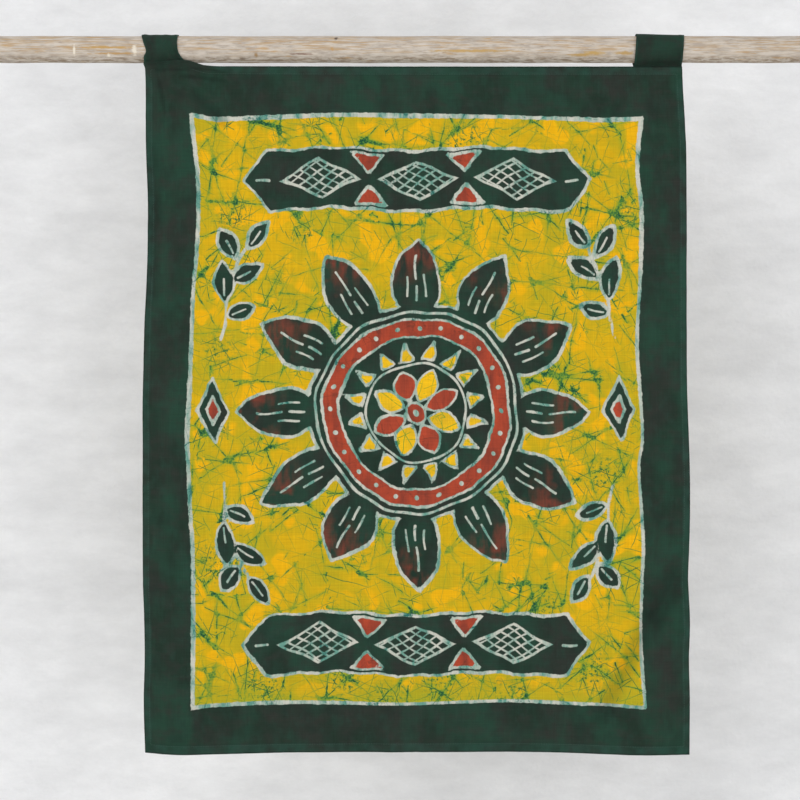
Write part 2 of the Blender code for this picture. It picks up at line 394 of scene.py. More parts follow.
def flat_lines(front, first_hem, last_hem, radius, fine_to):
    """Flat distances of the grid lines, from one raw edge of the cloth to the other. They lie
    closer up to fine_to, where the corner is wrinkled."""
    turn = math.pi * radius
    fine = np.linspace(0, fine_to, round(fine_to / FINE_CELL) + 1)[:-1]
    face = np.concatenate((fine, np.linspace(fine_to, front, round((front - fine_to) / CELL) + 1)))
    bend = np.linspace(0, turn, CELLS_IN_TURN + 1)[1:]
    first = np.linspace(turn, turn + first_hem, CELLS_IN_HEM + 1)[1:]
    last = np.linspace(turn, turn + last_hem, CELLS_IN_HEM + 1)[1:]
    return np.concatenate((-first[::-1], -bend[::-1], face, front + bend, front + last))


def make_sheet(name, across, down, place):
    """A sheet of cloth on a grid of flat distances.

    place() takes the column and row of each point and gives where it goes, with the numbers to
    store there by name. The sheet's map holds the flat cloth, from 0 to 1 each way.
    """
    grid = bmesh.new()
    bmesh.ops.create_grid(grid, x_segments=len(across) - 1, y_segments=len(down) - 1, size=0.5)
    mesh = bpy.data.meshes.new(name)
    grid.to_mesh(mesh)
    grid.free()
    unit = np.array([vert.co for vert in mesh.vertices])
    column = np.rint((unit[:, 0] + 0.5) * (len(across) - 1)).astype(int)
    row = np.rint((0.5 - unit[:, 1]) * (len(down) - 1)).astype(int)
    points, fields = place(column, row)
    mesh.vertices.foreach_set("co", points.ravel())
    for field_name, values in fields.items():
        field = mesh.attributes.new(field_name, "FLOAT", "POINT")
        field.data.foreach_set("value", values.astype(np.float32))
    flat = np.stack(
        (
            (across[column] - across[0]) / (across[-1] - across[0]),
            1 - (down[row] - down[0]) / (down[-1] - down[0]),
        ),
        axis=1,
    )
    corners = np.empty(len(mesh.loops), int)
    mesh.loops.foreach_get("vertex_index", corners)
    mesh.uv_layers.new(name="cloth").uv.foreach_set("vector", flat[corners].ravel())
    return show(mesh)


def show(mesh):
    """Puts a mesh into the scene as an object of the same name, shaded smooth."""
    mesh.shade_smooth()
    mesh.update()
    piece = bpy.data.objects.new(mesh.name, mesh)
    bpy.context.scene.collection.objects.link(piece)
    return piece


def thicken(piece, thickness):
    """Gives a sheet its thickness, half on each side."""
    wall = piece.modifiers.new("cloth thickness", "SOLIDIFY")
    wall.thickness = thickness
    wall.offset = 0
    wall.use_even_offset = False


def segment(points, start, end):
    """Distance to a straight stroke."""
    start, end = np.array(start), np.array(end)
    run = end - start
    share = np.clip((points - start) @ run / max(run @ run, 1e-9), 0, 1)
    return np.linalg.norm(points - start - share[:, None] * run, axis=1)


def polygon(points, outline):
    """Signed distance to a closed outline, negative inside."""
    distance = np.full(len(points), 1e9)
    inside = np.zeros(len(points), bool)
    for start, end in zip(outline, outline[1:] + outline[:1]):
        distance = np.minimum(distance, segment(points, start, end))
        crosses = (start[1] > points[:, 1]) != (end[1] > points[:, 1])
        rise = end[1] - start[1] if end[1] != start[1] else 1e-9
        side = start[0] + (points[:, 1] - start[1]) / rise * (end[0] - start[0])
        inside ^= crosses & (points[:, 0] < side)
    return np.where(inside, -distance, distance)


def disc(points, centre, radius):
    """Signed distance to a disc."""
    return np.linalg.norm(points - np.array(centre), axis=1) - radius


def polar(radius, angle, centre=(0, 0)):
    """Point at a radius and an angle in degrees, counted from straight up."""
    turn = math.radians(angle)
    return (centre[0] + radius * math.sin(turn), centre[1] + radius * math.cos(turn))


def leaf(base, angle, length, width, steps=9):
    """Outline of a pointed leaf that grows from base in the direction of angle."""
    side, ahead = Vector(polar(1, angle + 90)), Vector(polar(1, angle))
    base = Vector(base)
    shares = [n / steps for n in range(steps + 1)]
    halves = [(base + ahead * length * s, width / 2 * math.sin(math.pi * s) ** 0.85) for s in shares]
    right = [point + side * half for point, half in halves]
    left = [point - side * half for point, half in halves[1:-1]]
    return [tuple(point) for point in right + left[::-1]]


# The generic design: a twelve-petalled flower between two lozenge bands, with leaf sprays.
# Millimetres from the middle of the field.
DISC_RADIUS = 140
PETALS = 12
PETAL_BASE = 112
PETAL_TIP = 232
PETAL_WIDTH = 64
RUST_RING = (100, 122)
STAR_POINTS = 16
STAR_BASE = 70
STAR_TIP = 94
ROSETTE_PETALS = 8
ROSETTE_TIP = 61
BAND_HEIGHT = 302
BAND_HALF_WIDTH = 226
BAND_HALF_HEIGHT = 39
LOZENGE = (50, 25)
LOZENGE_SPACING = 126
SPRAY_LEAVES = (
    # base across, base up, angle, length, width
    (248, 142, 4, 56, 26),
    (250, 124, -72, 44, 22),
    (240, 172, -58, 50, 24),
    (232, 198, 34, 48, 23),
    (222, 214, -34, 44, 22),
)
SPRAY_STEM = ((254, 96), (249, 140), (238, 180), (222, 216))
SIDE_LOZENGE = (20, 42)
DESIGN_SEED = 11

# Waxed strokes of the flower: rings, dots in rings, and strokes along each petal
WAX_RINGS = (
    # radius, half width
    (131, 1.7),
    (64.5, 1.5),
)
WAX_DOTS = (
    # radius of their ring, how many, size
    (111, 24, 3.0),
    (88, -16, 2.2),
    (0, 1, 4.2),
)
PETAL_STROKES = (
    # off the petal's axis, from, to, half width
    (0, 146, 164, 1.6),
    (0, 174, 206, 1.5),
    (11.5, 152, 178, 1.3),
)
LEAF_STROKE = (9, 29, 1.2)
STEM_HALF_WIDTH = 2.1


def add(fields, name, distance):
    """Joins a shape to those of the same name."""
    fields[name] = np.minimum(fields[name], distance)


def flower(points, fields, rng):
    """Disc, petals, rust ring, ring of triangles and rosette at the middle of the field."""
    from_middle = np.linalg.norm(points, axis=1)
    add(fields, "green", from_middle - DISC_RADIUS)
    ring_middle, ring_half = sum(RUST_RING) / 2, (RUST_RING[1] - RUST_RING[0]) / 2
    add(fields, "rust", np.abs(from_middle - ring_middle) - ring_half)
    for n in range(PETALS):
        angle = 360 * n / PETALS
        tip, width = PETAL_TIP + rng.uniform(-7, 5), PETAL_WIDTH + rng.uniform(-4, 4)
        add(fields, "green", polygon(points, leaf(polar(PETAL_BASE, angle), angle, tip - PETAL_BASE, width)))
    for n in range(STAR_POINTS):
        angle = 360 * (n + 0.5) / STAR_POINTS
        half = 360 / STAR_POINTS * (0.36 + rng.uniform(-0.03, 0.03))
        tip = STAR_TIP + rng.uniform(-2, 1)
        corners = [polar(STAR_BASE, angle - half), polar(tip, angle), polar(STAR_BASE, angle + half)]
        add(fields, "gold", polygon(points, corners))
    for n in range(ROSETTE_PETALS):
        angle = 360 * (n + 0.5) / ROSETTE_PETALS + rng.uniform(-2, 2)
        petal = leaf(polar(16, angle), angle, ROSETTE_TIP - 16 + rng.uniform(-3, 1), 27)
        add(fields, "rust" if n % 2 else "gold", polygon(points, petal))
    add(fields, "rust", disc(points, (0, 0), 13))


def band(points, fields, up):
    """A dark ribbon with pointed ends, above the flower (up 1) or below it (up -1)."""
    middle = up * BAND_HEIGHT
    end, shoulder = BAND_HALF_WIDTH, BAND_HALF_WIDTH - 30
    outline = [
        (-end, middle),
        (-shoulder, middle + BAND_HALF_HEIGHT),
        (shoulder, middle + BAND_HALF_HEIGHT),
        (end, middle),
        (shoulder, middle - BAND_HALF_HEIGHT),
        (-shoulder, middle - BAND_HALF_HEIGHT),
    ]
    add(fields, "green", polygon(points, outline))
    for place in (-LOZENGE_SPACING / 2, LOZENGE_SPACING / 2):
        for side in (-1, 1):
            base, tip = middle + side * (BAND_HALF_HEIGHT - 6), middle + side * 8
            add(fields, "rust", polygon(points, [(place - 22, base), (place, tip), (place + 22, base)]))


def spray(points, fields, rng, right, up):
    """A stem with five leaves in one corner. The nearest leaf gives its own axes."""
    flip = np.array((right, up))
    stem = [np.array(place) + rng.uniform(-3, 3, 2) for place in SPRAY_STEM]
    for start, end in zip(stem, stem[1:]):
        add(fields, "stem", segment(points * flip, start, end))
    for across, height, angle, length, width in SPRAY_LEAVES:
        angle += rng.uniform(-7, 7)
        shape = polygon(points * flip, leaf((across, height), angle, length + rng.uniform(-4, 4), width))
        add(fields, "green", shape)
        local = points * flip - np.array((across, height))
        nearer = shape < fields["leaf"]
        fields["leaf"] = np.where(nearer, shape, fields["leaf"])
        for name, turn in (("leaf_along", angle), ("leaf_across", angle + 90)):
            fields[name] = np.where(nearer, local @ np.array(polar(1, turn)), fields[name])


def design_fields(x, z):
    """The dyed shapes at each point, as signed distances in millimetres, negative inside, and the
    place in the design, wavering as a hand-drawn one does."""
    rng = np.random.default_rng(DESIGN_SEED)
    points = np.stack((x - FIELD_CENTRE.x, z - FIELD_CENTRE.y), axis=1) / MM
    hand = points / 1000 * 2 * math.pi
    points[:, 0] += 2.6 * np.sin(hand[:, 1] * 6.1 + 1) + 1.2 * np.sin(hand[:, 1] * 17 + hand[:, 0] * 9)
    points[:, 1] += 2.4 * np.sin(hand[:, 0] * 5.3 + 2) + 1.2 * np.sin(hand[:, 0] * 19 - hand[:, 1] * 8)
    names = ("green", "rust", "gold", "stem", "leaf", "leaf_along", "leaf_across")
    fields = {name: np.full(len(x), 1e3) for name in names}
    flower(points, fields, rng)
    for up in (-1, 1):
        band(points, fields, up)
        for right in (-1, 1):
            spray(points, fields, rng, right, up)
    for right in (-1, 1):
        place, (wide, tall) = right * 264, SIDE_LOZENGE
        for name, share in (("green", 1), ("rust", 0.42)):
            half_wide, half_tall = wide * share, tall * share
            corners = [(place - half_wide, 0), (place, half_tall), (place + half_wide, 0), (place, -half_tall)]
            add(fields, name, polygon(points, corners))
    fields["frame"] = np.maximum.reduce(
        (
            read_table(FIELD_SIDES, z, 1) - x,
            x - read_table(FIELD_SIDES, z, 2),
            z - read_table(FIELD_ENDS, x, 1),
            read_table(FIELD_ENDS, x, 2) - z,
        )
    ) / MM
    fields = {name: np.clip(values, -60, 60) for name, values in fields.items() if name != "leaf"}
    fields["design_x"], fields["design_y"] = points.T
    return fields


def make_panel():
    """The batik cloth with its turned hems."""
    front_width, front_height = PANEL_WIDTH - 2 * SIDE_TURN, PANEL_HEIGHT - 2 * END_TURN
    columns = flat_lines(front_width, SIDE_HEM, SIDE_HEM, SIDE_TURN, FINE_ACROSS)
    rows = flat_lines(front_height, TOP_HEM, BOTTOM_HEM, END_TURN, FINE_DOWN)

    def place(column, row_number):
        across, inset = turn_edge(columns[column], front_width, SIDE_TURN)
        down, depth = turn_edge(rows[row_number], front_height, END_TURN, inset)
        x, z = panel_place(across, down)
        fields = design_fields(x, z)
        bunched = np.exp(-(((x - BUNCHED[0]) / BUNCHED[2]) ** 2) - ((z - BUNCHED[1]) / BUNCHED[3]) ** 2)
        # Painted shade: the troughs of the folds and wrinkles, and the bunched corner, are stored in shaded and darken
        # the cloth's colour.
        troughs = [along_fold(x, z, fold) / fold[5] for fold in FOLDS + CORNER_WRINKLES if fold[5] < 0]
        fields["shaded"] = np.maximum.reduce(troughs + [0.62 * bunched])
        fields["hem"] = np.minimum.reduce(
            (
                columns[column] / SIDE_HEM,
                (front_width - columns[column]) / SIDE_HEM,
                rows[row_number] / TOP_HEM,
                (front_height - rows[row_number]) / BOTTOM_HEM,
            )
        )
        # In the bunched corner, which is painted in shade, the hem value is raised so that the painted light and shade
        # of the hem strip leave it.
        fields["hem"] += 2.4 * bunched * (fields["hem"] > -0.02)
        y = panel_front(x, z) - hem_pucker(across, down) + CLOTH / 2 + depth
        return np.stack((x, y, z), axis=1), fields

    panel = make_sheet("batik_cloth", columns, rows, place)
    thicken(panel, CLOTH)
    return panel, (columns[-1] - columns[0], rows[-1] - rows[0])


def stitch_places():
    """Ends of each stitch round the hems, on the front face and on the back of the hem."""
    right, low = PANEL_WIDTH - SIDE_STITCHES, PANEL_HEIGHT - BOTTOM_STITCHES
    corners = ((SIDE_STITCHES, TOP_STITCHES), (right, TOP_STITCHES), (right, low), (SIDE_STITCHES, low))
    ends = []
    for n, (start, end) in enumerate(zip(corners, corners[1:] + corners[:1])):
        start, end = np.array(start), np.array(end)
        count = round(np.linalg.norm(end - start) / STITCH_PITCH)
        middles = start + (end - start) * ((np.arange(count) + 0.5) / count)[:, None]
        half = (end - start) / np.linalg.norm(end - start) * STITCH_LENGTH / 2
        hem_depth = CLOTH + 2 * (END_TURN if n % 2 == 0 else SIDE_TURN)
        pair = []
        for across, down in ((middles - half).T, (middles + half).T):
            x, z = panel_place(across, down)
            pair.append(np.stack((x, panel_front(x, z) - hem_pucker(across, down), z), axis=1))
        for depth in (0, hem_depth):
            ends.append(np.stack(pair, axis=1) + (0, depth, 0))
    return np.concatenate(ends)


def make_stitches():
    """The thread of the hems, one small stitch after another, as one joined mesh."""
    shape = bmesh.new()
    bmesh.ops.create_uvsphere(shape, u_segments=6, v_segments=4, radius=0.5)
    stitch = np.array([vert.co for vert in shape.verts])
    faces = [[vert.index for vert in face.verts] for face in shape.faces]
    shape.free()
    ends = stitch_places()
    middles = ends.mean(axis=1)
    along = ends[:, 1] - ends[:, 0]
    out = np.cross(along, (0, 1, 0))
    out *= STITCH_THICKNESS / np.linalg.norm(out, axis=1, keepdims=True)
    deep = np.broadcast_to((0, STITCH_THICKNESS, 0), out.shape)
    axes = np.stack((deep, out, along), axis=1)
    points = middles[:, None, :] + np.einsum("vk,nkc->nvc", stitch, axes)
    joined = [[v + n * len(stitch) for v in face] for n in range(len(ends)) for face in faces]
    mesh = bpy.data.meshes.new("hem_stitches")
    mesh.from_pydata(points.reshape(-1, 3).tolist(), [], joined)
    return show(mesh)


def cubic(points, share):
    """Points of a Bezier curve with four control points."""
    rest = 1 - share[:, None]
    share = share[:, None]
    first, second, third, fourth = points
    return first * rest**3 + second * 3 * rest**2 * share + third * 3 * rest * share**2 + fourth * share**3


def loop_path(x, leave_angles, join_drops):
    """Inner face of a loop's strip at one place along the pole, as (depth, height) points."""
    top = read_table(TOP_EDGE, x, 1)
    end = top - LOOP_TAIL
    radius = POLE_RADIUS + LOOP_CLEARANCE
    hem_back = CLOTH + 2 * END_TURN + LOOP_CLEARANCE
    halves = []
    for side, leave, drop in zip((-1, 1), leave_angles, join_drops):
        behind = hem_back + LOOP_THICKNESS + (LOOP_THICKNESS + LOOP_CLEARANCE if side > 0 else 0)
        heights = np.linspace(end, top + drop, 5)
        tail = np.stack((panel_front(x, heights) + behind, heights), axis=1)
        angle = math.radians(leave)
        off = np.array((side * math.sin(angle), -math.cos(angle))) * radius
        under = np.array((-side * math.cos(angle), -math.sin(angle)))
        reach = np.linalg.norm(off - tail[-1]) * LOOP_BEND_REACH
        bend = (tail[-1], tail[-1] + np.array((0, reach)), off + under * reach, off)
        halves.append(np.concatenate((tail, cubic(bend, np.linspace(0, 1, 13)[1:]))))
    front, back = halves
    first, last = (math.radians(180 - leave) for leave in leave_angles)
    turn = np.linspace(-first, last, 61)[1:-1]
    over = np.stack((np.sin(turn), np.cos(turn)), axis=1) * radius
    return np.concatenate((front, over, back[::-1]))


def make_loop(name, edges, pleats, pressed, leave_angles, join_drops):
    """A strip that is sewn behind the top hem at both ends and goes round the pole. pressed is the
    share of its pleats that the weight presses flat over the top."""
    across = np.linspace(0, 1, 41)
    middle, half = (edges[0][1] + edges[0][2]) / 2, (edges[0][2] - edges[0][1]) / 2
    paths = np.stack([loop_path(middle + half * (2 * s - 1), leave_angles, join_drops) for s in across])
    ahead = np.gradient(paths, axis=1)
    outward = np.stack((-ahead[..., 1], ahead[..., 0]), axis=2)
    outward /= np.linalg.norm(outward, axis=2, keepdims=True)
    rows = paths.shape[1]
    free = smooth(np.arange(rows) / 5 - 1) * smooth((rows - 1 - np.arange(rows)) / 5 - 1)
    rise = sum(r * np.exp(-(((across - c) / w) ** 2)) for c, w, r in pleats)
    over = 1 - pressed * smooth(paths[..., 1] / POLE_RADIUS + 0.3)
    paths += outward * ((rise[:, None] * free * over)[..., None] + LOOP_THICKNESS / 2)

    def place(column, row):
        y, z = paths[column, row, 0], paths[column, row, 1]
        left, right = read_table(edges, z, 1), read_table(edges, z, 2)
        # The hem field places the painted light and shade of the hem strip along the loop's edges.
        hem = np.minimum(across[column], 1 - across[column]) * LOOP_FLAT_WIDTH / LOOP_SEAM
        return np.stack((left + (right - left) * across[column], y, z), axis=1), {"hem": hem}

    steps = np.linalg.norm(np.diff(paths[len(across) // 2], axis=0), axis=1)
    down = np.concatenate(([0.0], np.cumsum(steps)))
    loop = make_sheet(name, across * LOOP_FLAT_WIDTH, down, place)
    thicken(loop, LOOP_THICKNESS)
    return loop, (LOOP_FLAT_WIDTH, down[-1])


def make_pole():
    """The round pole, with slight dents and flats along it."""
    shape = bmesh.new()
    bmesh.ops.create_cone(
        shape,
        cap_ends=True,
        segments=POLE_SIDES,
        radius1=POLE_RADIUS,
        radius2=POLE_RADIUS,
        depth=POLE_LENGTH,
    )
    long_edges = [e for e in shape.edges if abs(e.verts[0].co.z - e.verts[1].co.z) > POLE_BEVEL]
    bmesh.ops.subdivide_edges(shape, edges=long_edges, cuts=POLE_RINGS - 1, use_grid_fill=True)
    caps = [face for face in shape.faces if len(face.verts) == POLE_SIDES]
    rims = {edge for face in caps for edge in face.edges}
    bmesh.ops.bevel(
        shape,
        geom=list(rims),
        offset=POLE_BEVEL,
        segments=3,
        profile=0.5,
        affect="EDGES",
        material=-1,
    )
    for vert in shape.verts:
        along, side, up = vert.co.z, vert.co.x, vert.co.y
        turn = math.atan2(up, side)
        dent = math.sin(along * 23 + 2 * turn) * math.sin(along * 61 - turn + 1) * 0.5 + 0.5
        scale = 1 - POLE_DENT * dent / POLE_RADIUS
        vert.co = Vector((along, side * scale, up * scale))
    bmesh.ops.recalc_face_normals(shape, faces=shape.faces[:])
    mesh = bpy.data.meshes.new("limed_pole")
    shape.to_mesh(mesh)
    shape.free()
    pole = show(mesh)
    mesh.set_sharp_from_angle(angle=math.radians(50))
    return pole


def make_camera():
    """A level camera in front of the picture's middle."""
    data = bpy.data.cameras.new("camera")
    data.lens, data.sensor_width = LENS, SENSOR
    distance = PICTURE_PIXELS * METRES_A_PIXEL * LENS / SENSOR
    camera = bpy.data.objects.new("camera", data)
    middle = PICTURE_PIXELS / 2
    camera.location = (
        (middle - PANEL_MIDDLE_PIXEL) * METRES_A_PIXEL,
        PANEL_FRONT_Y - distance,
        (POLE_AXIS_PIXEL - middle) * METRES_A_PIXEL,
    )
    camera.rotation_euler = (math.radians(90), 0, 0)
    bpy.context.scene.collection.objects.link(camera)
    bpy.context.scene.camera = camera


def linear(hex_colour):
    """A colour written as sRGB hex, as the linear numbers that a shader takes."""
    parts = [int(hex_colour[n : n + 2], 16) / 255 for n in (1, 3, 5)]
    return [p / 12.92 if p <= 0.04045 else ((p + 0.055) / 1.055) ** 2.4 for p in parts] + [1.0]


def add_node(tree, kind, sockets=None, out=0, **settings):
    """Adds one shader node with its settings, fills or links its sockets, and gives one output."""
    node = tree.nodes.new("ShaderNode" + kind)
    for name, value in settings.items():
        setattr(node, name, value)
    for key, value in (sockets or {}).items():
        if isinstance(value, bpy.types.NodeSocket):
            tree.links.new(value, node.inputs[key])
        else:
            node.inputs[key].default_value = value
    return node.outputs[out]


def new_material(name, roughness):
    """A material, with its adder of nodes and its Principled shader."""
    material = bpy.data.materials.new(name)
    material.use_nodes = True
    shader = material.node_tree.nodes["Principled BSDF"]
    shader.inputs["Roughness"].default_value = roughness
    return material, functools.partial(add_node, material.node_tree), shader


def cloth_mm(add_to, flat):
    """The cloth's own map as millimetres on the flat cloth."""
    unit = add_to("UVMap", uv_map="cloth")
    scale = (flat[0] / MM, flat[1] / MM, 1)
    return add_to("Mapping", {"Vector": unit, "Scale": scale})


def dark_green(add_to, cloth):
    """Vat-dyed dark green cotton: brush-laid patches of brown-green and a lighter, bluer green."""
    colour = linear("#182A20")
    for shift, size, stretch, low, high, share, shade in (
        (0, 66, 0.8, 0.41, 0.63, 0.78, "#282A26"),
        (310, 52, 0.5, 0.43, 0.62, 0.85, "#1B3B2D"),
        (720, 26, 1.5, 0.48, 0.68, 0.50, "#2B2B27"),
        (930, 13, 0.6, 0.48, 0.68, 0.38, "#1E3B30"),
        (150, 24, 0.8, 0.52, 0.72, 0.42, "#15241E"),
    ):
        moved = add_to("Mapping", {"Vector": cloth, "Location": (shift, shift / 3, 0), "Scale": (1, stretch, 1)})
        patches = add_to("TexNoise", {"Vector": moved, "Scale": 1 / size, "Detail": 3, "Roughness": 0.6})
        laid = add_to("MapRange", {0: patches, 1: low, 2: high, 4: share})
        colour = add_to("Mix", {0: laid, 6: colour, 7: linear(shade)}, 2, data_type="RGBA")
    return colour


def painted_hem_light_and_shade(add_to, cloth, colour):
    """Painted light and shade at the edges: the two layers of cloth there are painted a little lighter
    and bluer, and their seam line and fold darker.
    """
    hem = add_to("Attribute", out=2, attribute_name="hem")
    share = add_to("Math", {0: hem}, operation="ABSOLUTE")
    # Painted light: the doubled cloth near the edges is painted lighter and bluer, unevenly.
    painted_hem_light = add_to("MapRange", {0: share, 1: 0.75, 2: 1.05, 3: 1.0, 4: 0.0})
    patches = add_to("TexNoise", {"Vector": cloth, "Scale": 1 / 15, "Detail": 4})
    uneven = add_to("MapRange", {0: patches, 1: 0.36, 2: 0.64, 3: 0.04, 4: 0.42})
    lighter = add_to("Math", {0: painted_hem_light, 1: uneven}, operation="MULTIPLY")
    colour = add_to("Mix", {0: lighter, 6: colour, 7: linear("#28493F")}, 2, data_type="RGBA")
    # Painted shade: a little darker along the seam line, and dark at the fold of the edge.
    seam = add_to("Math", {0: share, 1: 0.98}, operation="SUBTRACT")
    seam = add_to("Math", {0: seam}, operation="ABSOLUTE")
    stitched = add_to("MapRange", {0: seam, 1: 0.03, 2: 0.12, 3: 0.93, 4: 1.0})
    folded = add_to("MapRange", {0: share, 1: 0.02, 2: 0.14, 3: 0.66, 4: 1.0})
    value = add_to("Math", {0: stitched, 1: folded}, operation="MULTIPLY")
    return add_to("HueSaturation", {"Value": value, "Color": colour})


def thread_streaks(add_to, cloth):
    """Uneven threads of the plain weave, as a value round 0.5. Drawn at 1.5 mm, three times the
    real spacing, so that they show."""
    total = None
    for scale in ((1 / 45, 1 / 1.5, 1), (1 / 1.5, 1 / 45, 1)):
        stretched = add_to("Mapping", {"Vector": cloth, "Scale": scale})
        streak = add_to("TexNoise", {"Vector": stretched, "Scale": 1, "Detail": 1})
        total = streak if total is None else add_to("Math", {0: total, 1: streak}, operation="ADD")
    return add_to("Math", {0: total, 1: 0.5}, operation="MULTIPLY")


def cotton_surface(material, add_to, shader, cloth, colour):
    """Weave, slubs and a soft crumple on a cotton's colour and bump, and the painted light and shade of its hems."""
    threads = thread_streaks(add_to, cloth)
    value = add_to("MapRange", {0: threads, 1: 0.3, 2: 0.7, 3: 0.87, 4: 1.13})
    shaded = painted_hem_light_and_shade(add_to, cloth, add_to("HueSaturation", {"Value": value, "Color": colour}))
    crumple = add_to("TexNoise", {"Vector": cloth, "Scale": 1 / 26, "Detail": 3})
    low = add_to("Bump", {"Strength": 0.35, "Distance": 0.0012, "Height": crumple})
    fine = add_to("Bump", {"Strength": 0.5, "Distance": 0.00025, "Height": threads, "Normal": low})
    tree = material.node_tree
    tree.links.new(shaded, shader.inputs["Base Color"])
    tree.links.new(fine, shader.inputs["Normal"])
    shader.inputs["Specular IOR Level"].default_value = 0.2


# Crackle: where the wax broke and the dark dye ran in
CRACKS = (
    # turned by, length, spacing, half width of the line, share of the places that have one
    (7, 210, 56, 0.78, 0.75),
    (31, 150, 44, 0.65, 0.60),
    (52, 190, 52, 0.85, 0.65),
    (74, 130, 40, 0.59, 0.60),
    (98, 220, 50, 0.85, 0.75),
    (121, 160, 46, 0.65, 0.60),
    (143, 200, 54, 0.78, 0.70),
    (166, 140, 42, 0.59, 0.60),
)
HAIR_CRACKS = (
    # turned by, length, spacing, half width of the line, share of the places that have one
    (18, 70, 17, 0.34, 0.75),
    (64, 60, 15, 0.34, 0.75),
    (109, 74, 16, 0.34, 0.75),
    (155, 62, 18, 0.34, 0.75),
)
CRACK_STARS = (
    # spacing of the stars, reach of their rays, rays, size of the blot, share that is there
    (128, 62, 11, 1.6, 0.75),
    (67, 30, 8, 1.0, 0.60),
    (35, 17, 7, 0.9, 0.48),
)
# Places where the wax broke up most, in millimetres from the middle of the field
SEEP_SPOTS = (
    # across, up, reach
    (270, 259, 46),
    (-241, 255, 52),
    (-258, 80, 48),
    (232, 182, 40),
    (240, -84, 60),
    (-262, -196, 60),
    (-96, -352, 52),
    (166, -250, 44),
    (60, 352, 60),
    (-200, -354, 60),
    (30, -358, 56),
    (232, -340, 62),
    (-150, 232, 34),
    (-264, -20, 40),
    (-40, -378, 56),
    (124, -374, 56),
)


def larger(add_to, values):
    """The largest of several values."""
    total = values[0]
    for value in values[1:]:
        total = add_to("Math", {0: total, 1: value}, operation="MAXIMUM")
    return total


def smaller(add_to, values):
    """The smallest of several values."""
    total = values[0]
    for value in values[1:]:
        total = add_to("Math", {0: total, 1: value}, operation="MINIMUM")
    return total


def added(add_to, values):
    """The sum of several values."""
    total = values[0]
    for value in values[1:]:
        total = add_to("Math", {0: total, 1: value}, operation="ADD")
    return total


def cracks_one_way(add_to, place, thinner, angle, length, spacing, half_width, share):
    """Straight cracks near one direction, at most one in each long cell. They are drawn thinner by
    that factor. Gives the lines and a halo round them."""
    turn = math.radians(angle)
    turned = add_to("Mapping", {"Vector": place, "Rotation": (0, 0, turn), "Location": (angle * 7, angle * 3, 0)})
    unit = add_to("VectorMath", {0: turned, 1: (1 / length, 1 / spacing, 0)}, operation="MULTIPLY")
    cell = add_to("VectorMath", {0: unit}, operation="FLOOR")
    chance = add_to("TexWhiteNoise", {0: cell})
    random = add_to("SeparateColor", {0: chance.node.outputs[1]}).node.outputs
    inside = add_to("SeparateXYZ", {0: add_to("VectorMath", {0: unit}, operation="FRACTION")}).node.outputs
    along = add_to("Math", {0: inside[0], 1: 0.5}, operation="SUBTRACT")
    across = add_to("Math", {0: inside[1], 1: spacing, 2: -spacing / 2}, operation="MULTIPLY_ADD")
    middle = add_to("Math", {0: random[0], 1: spacing * 0.5, 2: -spacing * 0.25}, operation="MULTIPLY_ADD")
    lean = add_to("Math", {0: random[1], 1: spacing * 0.9, 2: -spacing * 0.45}, operation="MULTIPLY_ADD")
    line = add_to("Math", {0: lean, 1: along, 2: middle}, operation="MULTIPLY_ADD")
    apart = add_to("Math", {0: across, 1: line}, operation="SUBTRACT")
    gap = add_to("Math", {0: apart}, operation="ABSOLUTE")
    from_middle = add_to("Math", {0: along}, operation="ABSOLUTE")
    past = add_to("Math", {0: random[2], 1: -0.30, 2: from_middle}, operation="MULTIPLY_ADD")
    there = add_to("Math", {0: chance, 1: share}, operation="LESS_THAN")
    strength = add_to("MapRange", {0: past, 1: 0.08, 2: 0.20, 3: there, 4: 0})
    soft = {"interpolation_type": "SMOOTHSTEP"}
    wide = add_to("Math", {0: gap, 1: thinner}, operation="MULTIPLY")
    core = add_to("MapRange", {0: wide, 1: half_width * 0.2, 2: half_width * 2.3, 3: strength, 4: 0}, **soft)
    halo = add_to("MapRange", {0: gap, 1: 0, 2: 6.5, 3: strength, 4: 0}, **soft)
    return core, halo


